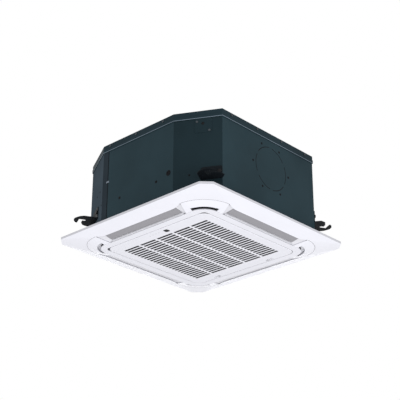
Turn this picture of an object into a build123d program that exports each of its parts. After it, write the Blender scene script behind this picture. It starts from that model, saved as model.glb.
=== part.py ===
"""Compact four-way ceiling cassette air conditioner, for a 600 mm ceiling grid.

Millimetres. +Z is up, and Z = 0 is the ceiling face that the panel rim closes against, at the
unit's centre. The body stands above the ceiling and the air panel hangs below it. The front
(-Y) has the branch duct knock-out and the left (-X) carries the grille hinge and the display.
"""
import os
from math import cos, hypot, radians, sin, sqrt

from build123d import *

os.makedirs("parts", exist_ok=True)

# ---- Driving dimensions: casing -------------------------------------------------------------
body_side = 570.0            # square casing, face to face
corner_cut_x = 71.0          # how far each corner cut runs along X
corner_cut_y = 131.0         # and along Y
body_base = 22.0             # casing bottom above the ceiling face
body_height = 260.0
sheet = 1.0                  # casing sheet steel
lid_sheet = 1.2
lid_skirt = 25.0             # depth of the top pan's skirt
lid_hem = 11.0               # its lower band, which stands proud
hem_proud = 1.2
lid_round = 0.9
base_flange = 12.0           # inward flange round the casing's bottom
seam_gap = 4.0               # open seam beside the corner panel
seam_step = 21.3             # the seams stand this far round from the corner cuts
lap = 8.0                    # and the corner panel reaches this far onto the rear
wall_foam = 14.0             # insulation inside the casing walls
top_foam = 19.0
fit = 0.3                    # general assembly clearance

# ---- Driving dimensions: air panel ----------------------------------------------------------
panel_side = 647.0
panel_corner_cut = 28.6
rim_height = 7.5
skin = 2.5                   # panel moulding wall
crease_half = 279.0          # fold line outside the outlets
crease_radius = 96.0
crease_depth = 18.5
ring_half = 236.0            # flat ring between the outlets and the grille
ring_radius = 53.0
ring_depth = 30.0
well_half = 211.2            # opening that the grille closes
well_radius = 28.6
swing_radius = 14.0          # squarer well corners beside the hinge, where the grille swings
swing_height = 6.5
deck_base = 1.0              # web that ties the ring to the collar
deck_thickness = 3.0
collar_inset = 3.0           # collar that stands up inside the ceiling cut-out
collar_top = 19.0
collar_depth = 12.0          # how far it reaches below the ceiling face
seal_width = 7.0

# ---- Driving dimensions: air outlets and louvers --------------------------------------------
outlet_inner = ring_half     # outlets are described on the +X side: u is X, v is Y
outlet_outer = 271.0
outlet_inner_half = 162.0
outlet_straight_half = 138.0
tip_u = 281.5
tip_v = 181.0
duct_inner = 237.5
duct_outer = 271.5
duct_half = 151.0
duct_wall = 2.0
fairing_top = 18.0           # height of the duct ends above the grille face
pivot_u = 246.0
pivot_height = 13.5          # louver axis above the grille face
louver_half = 150.0
louver_edge = 270.0
louver_root = 242.0
louver_thickness = 1.9
pin_radius = 2.2
pin_play = 0.08
blind_pin = 8.0
motor_start = 171.8          # louver motor along v
motor_length = 12.0
motor_radius = 10.0
motor_offset = 6.0           # its body stands this far above its output shaft
slit_inner = 54.0            # curved corner slit, about the ring's corner centre
slit_outer = 66.5
slit_start = 5.0             # degrees
slit_end = 85.0
cover_gap = 0.4
cover_shelf = 2.0

# ---- Driving dimensions: grille -------------------------------------------------------------
grille_drop = 31.0           # grille face below the ceiling face
grille_half = 209.6
grille_radius = 27.0
grille_plate = 2.4
grille_rim = 11.0            # rim height above the face
grille_rim_wall = 2.0
grille_edge_round = 2.0
slot_pitch = 14.0
slot_width = 8.6
slot_rows = 24
slot_columns = 5
column_pitch = 72.0
slot_length = 64.0
slot_corner = 1.2
stiffener_height = 5.5
stiffener_width = 3.0
hinge_x = -204.2
hinge_height = 5.0           # hinge axis above the grille face
hinge_y = 120.0
hinge_pin_radius = 1.3
knuckle_radius = 2.6
knuckle_length = 17.0
ear_width = 3.0
latch_x = 199.0
latch_y = 112.0
latch_travel = 8.0
latch_room = 1.0             # clearance round each latch knob and stem, across both sides
knob_length = 18.0
knob_width = 8.0
knob_depth = 1.1
knob_round = 2.5
knob_grip = 0.5
stem_width = 4.0
stem_length = 8.0
latch_plate = 1.6
tongue_reach = 6.0
tongue_level = 5.6           # underside of the latch tongue above the grille face
keeper_gap = 0.5
keeper_length = 6.0
keeper_sheet = 1.6
display_x = -188.0
display_y = -34.0
display_side = 17.0
display_round = 4.0
light_x = -192.0
light_pitch = 12.4
light_count = 4
light_centre_y = 13.5
light_radius = 1.3
board_height = 6.0           # display board above the grille face

# ---- Driving dimensions: fan, coil and drain ------------------------------------------------
pan_base = body_base + sheet
pan_height = 45.0
trough_floor = 42.0
trough_inner = 196.0
trough_outer = 234.5
pan_hole_radius = 174.0
sump_inner = 158.0
sump_outer = 232.0
sump_floor = 36.0
coil_outer = 231.0
coil_thickness = 26.0
coil_radius = 60.0
coil_end = 150.0             # where the coil stops at the pipe corner
end_plate = 1.5
tube_radius = 3.5
bend_radius = 9.5
bend_count = 6
bend_pitch = 34.0
throat_radius = 115.0
mouth_plate = 2.5
mouth_margin = 38.0          # bell mouth plate, in from the ring's edge
mouth_top = 84.0
mouth_wall = 2.0
fan_outer = 160.0
fan_inlet = 122.5
fan_bottom = 76.0
shroud_rise = 22.0
fan_back = 222.0
fan_wall = 2.5
blade_count = 8
blade_inner = 104.0
blade_gap = 4.0              # blade roots above the bell mouth
blade_lean = 26.0            # degrees that each blade falls back from root to tip
blade_thickness = 2.6
hub_radius = 15.0
hub_bottom = 164.0
hub_top = 190.0
dome_radius = 68.0
shaft_radius = 5.0
shaft_play = 0.05
motor_case_radius = 56.0
motor_case_wall = 3.0
motor_case_bottom = 204.0
rotor_radius = 32.0
air_gap = 1.0
bracket_radius = 95.0
bracket_sheet = 2.0
bush_circle = 82.0
bush_radius = 9.0
screw_radius = 2.5

# ---- Driving dimensions: control box, pump and pipes ----------------------------------------
box_length = 240.0
box_near = 130.0
box_far = 198.0
box_bottom = -8.0
box_sheet = 1.0
pump_place = (208.0, 208.0)
pump_radius = 22.0
pump_top = 108.0
impeller_radius = 12.0
float_place = (180.0, 180.0)
float_radius = 9.0
float_stem_radius = 2.5
float_base = 50.0
float_height = 14.0
float_travel = 12.0
gas_pipe_radius = 6.35
liquid_pipe_radius = 3.175
pipe_height = 150.0
gas_start = (216.0, 172.0)
liquid_start = (172.0, 216.0)
drain_radius = 12.5
drain_height = 200.0
pipe_reach = 55.0            # how far the pipes stand out of the casing
pipe_spigot = 14.0           # full-size end of each refrigerant pipe, beyond its flare nut
gas_run_radius = 5.8         # the pipes inside their nuts
liquid_run_radius = 2.9
nut_length = 18.0
nut_wall = 5.0
nut_gap = 0.5                # between each nut and its pipe's full-size end
drain_reach = 30.0
drain_spigot = 25.0          # full-size end of the drain pipe
drain_run_radius = 12.0
drain_wall = 2.0

# ---- Driving dimensions: hanging and fixing -------------------------------------------------
lug_sheet = 2.5
lug_base = 53.0
lug_flange_height = 40.0
lug_half_width = 32.0
rod_slot = 12.5              # open slot for the hanging rod
rod_reach = 38.0             # slot centre, out from the corner face
front_lug_shift = 42.0       # the front lugs stand this far nearer the front
lug_round = 5.0
knockout_radius = 71.0
knockout_circle = 83.0
knockout_height = 162.0      # its centre above the ceiling face
knockout_x = 6.0
knockout_groove = 1.6
knockout_tab = 12.0          # metal left between the cut arcs
knockout_hole = 2.2
panel_bolt = (213.0, 251.0)  # panel bolts, behind the corner covers
panel_bolt_radius = 2.5
panel_bolt_grip = 9.0
cable_mark_y = -135.0        # closed cable knock-out in the left wall
cable_mark_height = 93.0
cable_mark_radius = 8.0
cable_mark_depth = 0.5
tie_holes = [(-84.0, 81.0), (74.0, 79.0)]
tie_hole_radius = 3.0
lid_screw_pitch = 116.0
lid_screw_radius = 3.6
lid_screw_drop = 8.0
lid_screw_shank = 1.6
side_screw_pitch = 117.0
side_screw_shift = 7.0
lug_bolt_height = 75.0
lug_bolt_across = 25.0
lug_bolt_radius = 3.0
bolt_head = 4.0

# ---- Places worked out from the driving dimensions ------------------------------------------
body_half = body_side / 2
body_top = body_base + body_height
face = -grille_drop                          # height of the grille face
corner_centre = ring_half - ring_radius      # centre of the ring's corner arcs
cut_length = hypot(corner_cut_x, corner_cut_y)
cut_normal = (corner_cut_y / cut_length, corner_cut_x / cut_length)
cut_along = (-cut_normal[1], cut_normal[0])
cut_distance = cut_normal[0] * body_half + cut_normal[1] * (body_half - corner_cut_y)
cut_middle = (body_half - corner_cut_x / 2, body_half - corner_cut_y / 2)
sides = {"right": 0, "back": 90, "left": 180, "front": 270}


def octagon_points(inset):
    """Corners of the casing outline, moved inwards by the inset."""
    half = body_half - inset
    near_y = (cut_distance - inset - cut_normal[0] * half) / cut_normal[1]
    near_x = (cut_distance - inset - cut_normal[1] * half) / cut_normal[0]
    return [(half, -near_y), (half, near_y), (near_x, half), (-near_x, half),
            (-half, near_y), (-half, -near_y), (-near_x, -half), (near_x, -half)]


def octagon_tube(outer_inset, inner_inset, bottom, top):
    """Upright tube that follows the casing outline."""
    with BuildPart() as tube:
        with BuildSketch(Plane.XY.offset(bottom)):
            Polygon(*octagon_points(outer_inset), align=None)
            Polygon(*octagon_points(inner_inset), align=None, mode=Mode.SUBTRACT)
        extrude(amount=top - bottom)
    return tube.part


def octagon_block(inset, bottom, top):
    """Solid block that follows the casing outline."""
    with BuildPart() as block:
        with BuildSketch(Plane.XY.offset(bottom)):
            Polygon(*octagon_points(inset), align=None)
        extrude(amount=top - bottom)
    return block.part


def panel_rim_points(inset):
    """Corners of the panel outline, moved inwards by the inset."""
    half = panel_side / 2 - inset
    near = panel_side / 2 - panel_corner_cut - inset * (2 ** 0.5 - 1)
    return [(half, -near), (half, near), (near, half), (-near, half),
            (-half, near), (-half, -near), (-near, -half), (near, -half)]


def panel_mass(inset, lift, top):
    """Everything above the panel's outer face, moved in and up by a wall thickness."""
    rim_level = lift - rim_height
    with BuildPart() as mass:
        with BuildSketch(Plane.XY.offset(rim_level)):
            Polygon(*panel_rim_points(inset), align=None)
        extrude(amount=top - rim_level)
        with BuildSketch(Plane.XY.offset(rim_level)):
            Polygon(*panel_rim_points(inset), align=None)
        with BuildSketch(Plane.XY.offset(lift - crease_depth)):
            RectangleRounded(2 * crease_half, 2 * crease_half, crease_radius)
        loft(ruled=True)
        with BuildSketch(Plane.XY.offset(lift - crease_depth)):
            RectangleRounded(2 * crease_half, 2 * crease_half, crease_radius)
        with BuildSketch(Plane.XY.offset(lift - ring_depth)):
            RectangleRounded(2 * ring_half, 2 * ring_half, ring_radius)
        loft(ruled=True)
    return mass.part


def outlet_edge():
    """Outline of one air outlet: straight inside, with an end that flares like a horn."""
    Line((outlet_inner, -outlet_inner_half), (outlet_inner, outlet_inner_half))
    Line((outlet_inner, outlet_inner_half), (tip_u, tip_v))
    TangentArc((outlet_outer, outlet_straight_half), (tip_u, tip_v), tangent=(0, 1))
    Line((outlet_outer, outlet_straight_half), (outlet_outer, -outlet_straight_half))
    TangentArc((outlet_outer, -outlet_straight_half), (tip_u, -tip_v), tangent=(0, -1))
    Line((tip_u, -tip_v), (outlet_inner, -outlet_inner_half))


def outlet_prism(bottom, top):
    """One outlet's opening as an upright prism."""
    with BuildPart() as prism:
        with BuildSketch(Plane.XY.offset(bottom)):
            with BuildLine():
                outlet_edge()
            make_face()
        extrude(amount=top - bottom)
    return prism.part


def corner_prism(gap, bottom, top):
    """Region of one corner cover, between two outlets, drawn in by the gap."""
    inner = slit_inner + gap
    outer = hypot(tip_u - corner_centre, tip_v - corner_centre) - gap
    slope = (tip_v - outlet_inner_half) / (tip_u - outlet_inner)
    stretch = hypot(1, slope)
    base = outlet_inner_half - corner_centre - slope * (outlet_inner - corner_centre) + gap * stretch
    reach = (sqrt((outer * stretch) ** 2 - base ** 2) - slope * base) / stretch ** 2
    tip = (reach, base + slope * reach)
    root = (inner, base + slope * inner)
    halfway = cos(radians(45))
    with BuildPart() as prism:
        with BuildSketch(Plane((corner_centre, corner_centre, bottom))):
            with BuildLine():
                Polyline(tip, root, (inner, 0))
                ThreePointArc((inner, 0), (inner * halfway, inner * halfway), (0, inner))
                Polyline((0, inner), (root[1], root[0]), (tip[1], tip[0]))
                ThreePointArc((tip[1], tip[0]), (outer * halfway, outer * halfway), tip)
            make_face()
        extrude(amount=top - bottom)
    return prism.part


def arc_band(inner, outer, start, end, bottom, top):
    """Curved upright band about the ring's corner centre, between two angles."""
    middle = (start + end) / 2

    def on_circle(radius, angle):
        return (corner_centre + radius * cos(radians(angle)), corner_centre + radius * sin(radians(angle)))

    with BuildPart() as band:
        with BuildSketch(Plane.XY.offset(bottom)):
            with BuildLine():
                ThreePointArc(on_circle(inner, start), on_circle(inner, middle), on_circle(inner, end))
                Line(on_circle(inner, end), on_circle(outer, end))
                ThreePointArc(on_circle(outer, end), on_circle(outer, middle), on_circle(outer, start))
                Line(on_circle(outer, start), on_circle(inner, start))
            make_face()
        extrude(amount=top - bottom)
    return band.part


def four_ways(shape):
    """The shape at each of the four sides."""
    return [shape.rotate(Axis.Z, turn) for turn in sides.values()]


def box_between(low, high):
    """Upright block between two opposite corners."""
    size = [high[i] - low[i] for i in range(3)]
    centre = [(high[i] + low[i]) / 2 for i in range(3)]
    return Pos(*centre) * Box(*size, mode=Mode.PRIVATE)


def rod_between(start, end, radius):
    """Round bar from one point to another."""
    direction = Vector(*end) - Vector(*start)
    with BuildPart() as rod:
        with BuildSketch(Plane(origin=start, z_dir=direction.normalized())):
            Circle(radius)
        extrude(amount=direction.length)
    return rod.part


def out_of_corner(start, height, distance):
    """Point reached from a start by going square to the corner face, to a distance from the centre."""
    go = distance - (cut_normal[0] * start[0] + cut_normal[1] * start[1])
    return (start[0] + go * cut_normal[0], start[1] + go * cut_normal[1], height)


def keep(shape, name):
    """Label a finished piece and write it."""
    shape.label = name
    export_step(shape, f"parts/{name}.step")


# ---- Pipe runs, which the casing, the insulation and the pipe plate all clear ----------------
gas_out = out_of_corner(gas_start, pipe_height, cut_distance + pipe_reach)
liquid_out = out_of_corner(liquid_start, pipe_height, cut_distance + pipe_reach)
drain_out = out_of_corner(pump_place, drain_height, cut_distance + drain_reach)
pipe_runs = [((*gas_start, pipe_height), gas_out, gas_pipe_radius),
             ((*liquid_start, pipe_height), liquid_out, liquid_pipe_radius),
             ((*pump_place, drain_height), drain_out, drain_radius)]
spigot_start = cut_distance + pipe_reach - pipe_spigot
gas_neck = out_of_corner(gas_start, pipe_height, spigot_start)
liquid_neck = out_of_corner(liquid_start, pipe_height, spigot_start)
drain_neck = out_of_corner(pump_place, drain_height, cut_distance + drain_reach - drain_spigot)
pipe_holes = [rod_between(start, end, radius + fit) for start, end, radius in pipe_runs]

# ---- Screws and bolts that pass through the casing -------------------------------------------
screw_level = body_top - lid_screw_drop
skirt_face = body_half + lid_sheet
lug_face = Plane((cut_middle[0], -cut_middle[1], 0), x_dir=(cut_normal[1], cut_normal[0], 0),
                 z_dir=(cut_normal[0], -cut_normal[1], 0))


def all_corners(shape):
    """The shape, made at the +X -Y corner, at all four corners: the front pair is shifted forward."""
    shift = Vector(-cut_normal[1] * front_lug_shift, -cut_normal[0] * front_lug_shift, 0)
    front = shape.translate(shift)
    return [front, front.mirror(Plane.YZ), shape.rotate(Axis.Z, 180), shape.mirror(Plane.XZ)]


with BuildPart() as lug_bolt_pair:
    with BuildSketch(lug_face.offset(lug_sheet)):
        with Locations((-lug_bolt_across, lug_bolt_height), (lug_bolt_across, lug_bolt_height)):
            RegularPolygon(lug_bolt_radius + 3, 6)
    extrude(amount=bolt_head)
    with BuildSketch(lug_face.offset(-sheet)):
        with Locations((-lug_bolt_across, lug_bolt_height), (lug_bolt_across, lug_bolt_height)):
            Circle(lug_bolt_radius)
    extrude(amount=lug_sheet + sheet)
lug_bolt_pairs = all_corners(lug_bolt_pair.part)

with BuildPart() as lid_screws:
    for normal, count, pitch, shift in (((0, -1), 4, lid_screw_pitch, 0), ((0, 1), 4, lid_screw_pitch, 0),
                                        ((-1, 0), 3, side_screw_pitch, -side_screw_shift),
                                        ((1, 0), 3, side_screw_pitch, -side_screw_shift)):
        across = (-normal[1], normal[0], 0)
        wall = Plane((normal[0] * skirt_face, normal[1] * skirt_face, screw_level), x_dir=across,
                     z_dir=(*normal, 0))
        with BuildSketch(wall):
            with Locations((shift, 0)):
                with GridLocations(pitch, 1, count, 1):
                    Circle(lid_screw_radius)
        extrude(amount=1.8)
        with BuildSketch(wall):
            with Locations((shift, 0)):
                with GridLocations(pitch, 1, count, 1):
                    Circle(lid_screw_shank)
        extrude(amount=-lid_sheet - sheet)
lid_screws.part.label = "lid_screws"
export_step(lid_screws.part, "parts/lid_screws.step")

# ---- Top pan ---------------------------------------------------------------------------------
with BuildPart() as top_pan:
    add(octagon_tube(-lid_sheet, -0.1, body_top - lid_skirt, body_top))
    add(octagon_tube(-lid_sheet - hem_proud, -0.1, body_top - lid_skirt, body_top - lid_skirt + lid_hem))
    with BuildSketch(Plane.XY.offset(body_top - sheet)):
        Polygon(*octagon_points(-lid_sheet), align=None)
    extrude(amount=lid_sheet)
    fillet(top_pan.faces().sort_by(Axis.Z)[-1].outer_wire().edges(), radius=lid_round)
    with BuildSketch(Plane.XY.offset(body_top - sheet)):
        with PolarLocations(bush_circle, 4):
            Circle(screw_radius)
    extrude(amount=2 * lid_sheet, mode=Mode.SUBTRACT)
    add(lid_screws.part, mode=Mode.SUBTRACT)
top_pan.part.label = "top_pan"
export_step(top_pan.part, "parts/top_pan.step")

# ---- Casing walls, in three wrapped sheets ---------------------------------------------------
with BuildPart() as wall_tube:
    add(octagon_tube(0, sheet, body_base, body_top - sheet))
    add(lid_screws.part, mode=Mode.SUBTRACT)
    for pair in lug_bolt_pairs:
        add(pair, mode=Mode.SUBTRACT)
casing_walls = wall_tube.part
casing_flange = octagon_tube(sheet, base_flange, body_base, body_base + sheet)
far = 2 * body_half
seam_y = body_half - corner_cut_y - seam_step
seam_x = corner_cut_x - body_half + lap
front_wedge = [(0, 0), (-body_half, seam_y - seam_gap), (-far, seam_y - seam_gap), (-far, -far), (far, -far),
               (far, -seam_y - seam_gap / 2), (body_half, -seam_y - seam_gap / 2)]
corner_wedge = [(0, 0), (seam_x, body_half), (seam_x, far), (-far, far), (-far, seam_y), (-body_half, seam_y)]
rear_wedge = [(0, 0), (body_half, -seam_y), (far, -seam_y), (far, far), (seam_x + sheet, far),
              (seam_x + sheet, body_half)]

with BuildPart() as casing_front:
    add(casing_walls)
    add(casing_flange)
    with BuildSketch(Plane.XY.offset(body_base)):
        Polygon(*front_wedge, align=None)
    extrude(amount=body_height, mode=Mode.INTERSECT)
    with BuildSketch(Plane.XZ.offset(body_half)):
        with Locations((knockout_x, knockout_height)):
            Circle(knockout_radius)
            Circle(knockout_radius - knockout_groove, mode=Mode.SUBTRACT)
            with PolarLocations(knockout_radius, 6, start_angle=30):
                Rectangle(4 * knockout_groove, knockout_tab, mode=Mode.SUBTRACT)
            with PolarLocations(knockout_circle, 6):
                Circle(knockout_hole)
    extrude(amount=-2 * sheet, mode=Mode.SUBTRACT)
    with BuildSketch(Plane.YZ.offset(-body_half)):
        with Locations((cable_mark_y, cable_mark_height)):
            Circle(cable_mark_radius)
    extrude(amount=cable_mark_depth, mode=Mode.SUBTRACT)
    with BuildSketch(Plane.YZ.offset(-body_half)):
        with Locations(*tie_holes):
            Circle(tie_hole_radius)
    extrude(amount=2 * sheet, mode=Mode.SUBTRACT)
casing_front.part.label = "casing_front"
export_step(casing_front.part, "parts/casing_front.step")

with BuildPart() as casing_rear:
    add(casing_walls)
    add(casing_flange)
    with BuildSketch(Plane.XY.offset(body_base)):
        Polygon(*rear_wedge, align=None)
    extrude(amount=body_height, mode=Mode.INTERSECT)
    for hole in pipe_holes:
        add(hole, mode=Mode.SUBTRACT)
casing_rear.part.label = "casing_rear"
export_step(casing_rear.part, "parts/casing_rear.step")

with BuildPart() as casing_corner_panel:
    add(casing_walls)
    add(casing_flange)
    with BuildSketch(Plane.XY.offset(body_base)):
        Polygon(*corner_wedge, align=None)
    extrude(amount=body_height, mode=Mode.INTERSECT)
casing_corner_panel.part.label = "casing_corner_panel"
export_step(casing_corner_panel.part, "parts/casing_corner_panel.step")


# ---- Insulation ------------------------------------------------------------------------------
pan_top = pan_base + pan_height
foam_inset = sheet + fit
with BuildPart() as side_insulation:
    add(octagon_tube(foam_inset, foam_inset + wall_foam, pan_top, body_top - sheet - top_foam))
    for hole in pipe_holes:
        add(hole, mode=Mode.SUBTRACT)
side_insulation.part.label = "side_insulation"
export_step(side_insulation.part, "parts/side_insulation.step")

with BuildPart() as top_insulation:
    add(octagon_block(foam_inset, body_top - sheet - top_foam, body_top - sheet))
    with BuildSketch(Plane.XY.offset(body_top - sheet - top_foam)):
        Circle(bracket_radius + 3)
    extrude(amount=top_foam, mode=Mode.SUBTRACT)
top_insulation.part.label = "top_insulation"
export_step(top_insulation.part, "parts/top_insulation.step")

# ---- Drain pan, with the four air ducts through it -------------------------------------------
def duct_prism(grow, bottom, top):
    """Straight air duct on the +X side."""
    return box_between((duct_inner - grow, -duct_half - grow, bottom), (duct_outer + grow, duct_half + grow, top))


with BuildPart() as drain_pan:
    add(octagon_block(foam_inset, pan_base, pan_top))
    for duct in four_ways(duct_prism(0, pan_base - 1, pan_top + 1)):
        add(duct, mode=Mode.SUBTRACT)
    with BuildSketch(Plane.XY.offset(pan_base)):
        Circle(pan_hole_radius)
    extrude(amount=pan_height, mode=Mode.SUBTRACT)
    with BuildSketch(Plane.XY.offset(trough_floor)):
        RectangleRounded(2 * trough_outer, 2 * trough_outer, coil_radius)
        RectangleRounded(2 * trough_inner, 2 * trough_inner, coil_radius - coil_thickness, mode=Mode.SUBTRACT)
    extrude(amount=pan_height, mode=Mode.SUBTRACT)
    add(box_between((sump_inner, sump_inner, sump_floor), (sump_outer, sump_outer, pan_top + 1)),
        mode=Mode.SUBTRACT)
    with BuildSketch(Plane.XY.offset(pan_base)):
        for across in (1, -1):
            for along in (1, -1):
                with Locations((across * panel_bolt[0], along * panel_bolt[1])):
                    Circle(panel_bolt_radius)
    extrude(amount=panel_bolt_grip, mode=Mode.SUBTRACT)
drain_pan.part.label = "drain_pan"
export_step(drain_pan.part, "parts/drain_pan.step")

# ---- Bell mouth ------------------------------------------------------------------------------
mouth_base = pan_base - mouth_plate
mouth_half = ring_half - mouth_margin
with BuildPart() as bell_mouth:
    with BuildSketch(Plane.XY.offset(mouth_base)):
        RectangleRounded(2 * mouth_half, 2 * mouth_half, well_radius)
        Circle(pan_hole_radius - 10, mode=Mode.SUBTRACT)
    extrude(amount=mouth_plate)
    with BuildSketch(Plane.XZ):
        with BuildLine():
            outer_foot = (pan_hole_radius - 10, mouth_base)
            outer_neck = (throat_radius, mouth_top - 25)
            Line((pan_hole_radius - 2, mouth_base), outer_foot)
            EllipticalCenterArc((outer_foot[0], outer_neck[1]), outer_foot[0] - throat_radius,
                                outer_neck[1] - mouth_base, 180, arc_size=90)
            Line(outer_neck, (throat_radius, mouth_top))
            Line((throat_radius, mouth_top), (throat_radius + mouth_wall, mouth_top))
            Line((throat_radius + mouth_wall, mouth_top), (throat_radius + mouth_wall, outer_neck[1]))
            EllipticalCenterArc((outer_foot[0], outer_neck[1]), outer_foot[0] - throat_radius - mouth_wall,
                                outer_neck[1] - mouth_base - mouth_plate, 180, arc_size=90)
            Line((outer_foot[0], mouth_base + mouth_plate), (pan_hole_radius - 2, mouth_base + mouth_plate))
            Line((pan_hole_radius - 2, mouth_base + mouth_plate), (pan_hole_radius - 2, mouth_base))
        make_face()
    revolve(axis=Axis.Z)
bell_mouth.part.label = "bell_mouth"
export_step(bell_mouth.part, "parts/bell_mouth.step")

# ---- Turbo fan -------------------------------------------------------------------------------
shroud_edge = fan_bottom + shroud_rise
with BuildPart() as blade_space:
    with BuildSketch(Plane.XZ):
        with BuildLine():
            TangentArc((fan_inlet, fan_bottom), (fan_outer, shroud_edge), tangent=(0, 1))
            Line((fan_outer, shroud_edge), (fan_outer, fan_back))
            Line((fan_outer, fan_back), (blade_inner, fan_back))
            Line((blade_inner, fan_back), (blade_inner, fan_bottom))
            Line((blade_inner, fan_bottom), (fan_inlet, fan_bottom))
        make_face()
    revolve(axis=Axis.Z)

blade_base = mouth_top + blade_gap
with BuildPart() as turbo_fan:
    with BuildSketch(Plane.XY.offset(blade_base)):
        with PolarLocations(0, blade_count):
            with BuildLine():
                root = (blade_inner, 0)
                lean = radians(blade_lean)
                tip = ((fan_outer - 1) * cos(lean), -(fan_outer - 1) * sin(lean))
                TangentArc(root, tip, tangent=(cos(radians(-blade_lean / 3)), sin(radians(-blade_lean / 3))))
                TangentArc((root[0], blade_thickness), (tip[0] + blade_thickness, tip[1] + blade_thickness / 2),
                           tangent=(cos(radians(-blade_lean / 3)), sin(radians(-blade_lean / 3))))
                Line(root, (root[0], blade_thickness))
                Line(tip, (tip[0] + blade_thickness, tip[1] + blade_thickness / 2))
            make_face()
    extrude(amount=fan_back - blade_base)
    add(blade_space.part, mode=Mode.INTERSECT)
    with BuildSketch(Plane.XZ):
        with BuildLine():
            Line((fan_inlet, fan_bottom), (fan_inlet + fan_wall, fan_bottom))
            TangentArc((fan_inlet + fan_wall, fan_bottom), (fan_outer, shroud_edge - fan_wall), tangent=(0, 1))
            Line((fan_outer, shroud_edge - fan_wall), (fan_outer, shroud_edge))
            TangentArc((fan_inlet, fan_bottom), (fan_outer, shroud_edge), tangent=(0, 1))
        make_face()
        with BuildLine():
            Polyline((shaft_radius, hub_bottom), (hub_radius, hub_bottom), (hub_radius, hub_top - fan_wall),
                     (dome_radius, hub_top - fan_wall), (blade_inner - 6, fan_back - fan_wall),
                     (fan_outer, fan_back - fan_wall), (fan_outer, fan_back), (blade_inner - 8, fan_back),
                     (dome_radius - 2, hub_top), (shaft_radius, hub_top), close=True)
        make_face()
    revolve(axis=Axis.Z)
turbo_fan.part.label = "turbo_fan"
export_step(turbo_fan.part, "parts/turbo_fan.step")

# ---- Fan motor -------------------------------------------------------------------------------
case_top = body_top - sheet - top_foam
case_inner = motor_case_radius - motor_case_wall
bearing_outer = 11.0
bearing_width = 7.0
lower_bearing = motor_case_bottom + motor_case_wall
upper_bearing = case_top - motor_case_wall - bearing_width
seat_wall = 2.0

with BuildPart() as motor_case:
    with BuildSketch(Plane.XY.offset(motor_case_bottom)):
        Circle(motor_case_radius)
    extrude(amount=case_top - motor_case_bottom)
    fillet(motor_case.edges().filter_by(GeomType.CIRCLE).sort_by(Axis.Z)[0], radius=motor_case_wall)
    with BuildSketch(Plane.XY.offset(motor_case_bottom + motor_case_wall)):
        Circle(case_inner)
        Circle(bearing_outer + seat_wall, mode=Mode.SUBTRACT)
    extrude(amount=bearing_width, mode=Mode.SUBTRACT)
    with BuildSketch(Plane.XY.offset(lower_bearing + bearing_width)):
        Circle(case_inner)
    extrude(amount=upper_bearing - lower_bearing - bearing_width, mode=Mode.SUBTRACT)
    with BuildSketch(Plane.XY.offset(upper_bearing)):
        Circle(case_inner)
        Circle(bearing_outer + seat_wall, mode=Mode.SUBTRACT)
    extrude(amount=bearing_width, mode=Mode.SUBTRACT)
    for seat in (lower_bearing, upper_bearing):
        with BuildSketch(Plane.XY.offset(seat)):
            Circle(bearing_outer)
        extrude(amount=bearing_width, mode=Mode.SUBTRACT)
    with BuildSketch(Plane.XY.offset(motor_case_bottom)):
        Circle(shaft_radius + fit)
    extrude(amount=motor_case_wall, mode=Mode.SUBTRACT)
motor_case.part.label = "motor_case"
export_step(motor_case.part, "parts/motor_case.step")

with BuildPart() as motor_bearings:
    for seat in (lower_bearing, upper_bearing):
        with BuildSketch(Plane.XY.offset(seat)):
            Circle(bearing_outer)
            Circle(shaft_radius + shaft_play, mode=Mode.SUBTRACT)
        extrude(amount=bearing_width)
motor_bearings.part.label = "motor_bearings"
export_step(motor_bearings.part, "parts/motor_bearings.step")

core_bottom = lower_bearing + bearing_width + 3
core_top = upper_bearing - 3
with BuildPart() as motor_stator:
    with BuildSketch(Plane.XY.offset(core_bottom)):
        Circle(case_inner)
        Circle(rotor_radius + air_gap, mode=Mode.SUBTRACT)
    extrude(amount=core_top - core_bottom)
motor_stator.part.label = "motor_stator"
export_step(motor_stator.part, "parts/motor_stator.step")

with BuildPart() as motor_rotor:
    with BuildSketch(Plane.XY.offset(core_bottom)):
        Circle(rotor_radius)
        Circle(shaft_radius, mode=Mode.SUBTRACT)
    extrude(amount=core_top - core_bottom)
motor_rotor.part.label = "motor_rotor"
export_step(motor_rotor.part, "parts/motor_rotor.step")

nut_height = 8.0
shaft_bottom = hub_bottom - nut_height - 4
with BuildPart() as motor_shaft:
    with BuildSketch(Plane.XY.offset(shaft_bottom)):
        Circle(shaft_radius)
    extrude(amount=upper_bearing + bearing_width - shaft_bottom)
    chamfer(motor_shaft.edges().filter_by(GeomType.CIRCLE).sort_by(Axis.Z)[0], length=1)
motor_shaft.part.label = "motor_shaft"
export_step(motor_shaft.part, "parts/motor_shaft.step")

with BuildPart() as fan_nut:
    with BuildSketch(Plane.XY.offset(hub_bottom - nut_height)):
        RegularPolygon(shaft_radius + 4, 6, major_radius=False)
        Circle(shaft_radius, mode=Mode.SUBTRACT)
    extrude(amount=nut_height)
fan_nut.part.label = "fan_nut"
export_step(fan_nut.part, "parts/fan_nut.step")

with BuildPart() as motor_bracket:
    with BuildSketch(Plane.XY.offset(case_top)):
        Circle(bracket_radius)
        with PolarLocations(bush_circle, 4):
            Circle(screw_radius, mode=Mode.SUBTRACT)
        with PolarLocations(bush_circle - 12, 4, start_angle=45):
            Circle(bush_radius, mode=Mode.SUBTRACT)
    extrude(amount=bracket_sheet)
motor_bracket.part.label = "motor_bracket"
export_step(motor_bracket.part, "parts/motor_bracket.step")

bush_base = case_top + bracket_sheet
with BuildPart() as rubber_bushes:
    with BuildSketch(Plane.XY.offset(bush_base)):
        with PolarLocations(bush_circle, 4):
            Circle(bush_radius)
            Circle(screw_radius, mode=Mode.SUBTRACT)
    extrude(amount=body_top - sheet - bush_base)
rubber_bushes.part.label = "rubber_bushes"
export_step(rubber_bushes.part, "parts/rubber_bushes.step")

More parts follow.
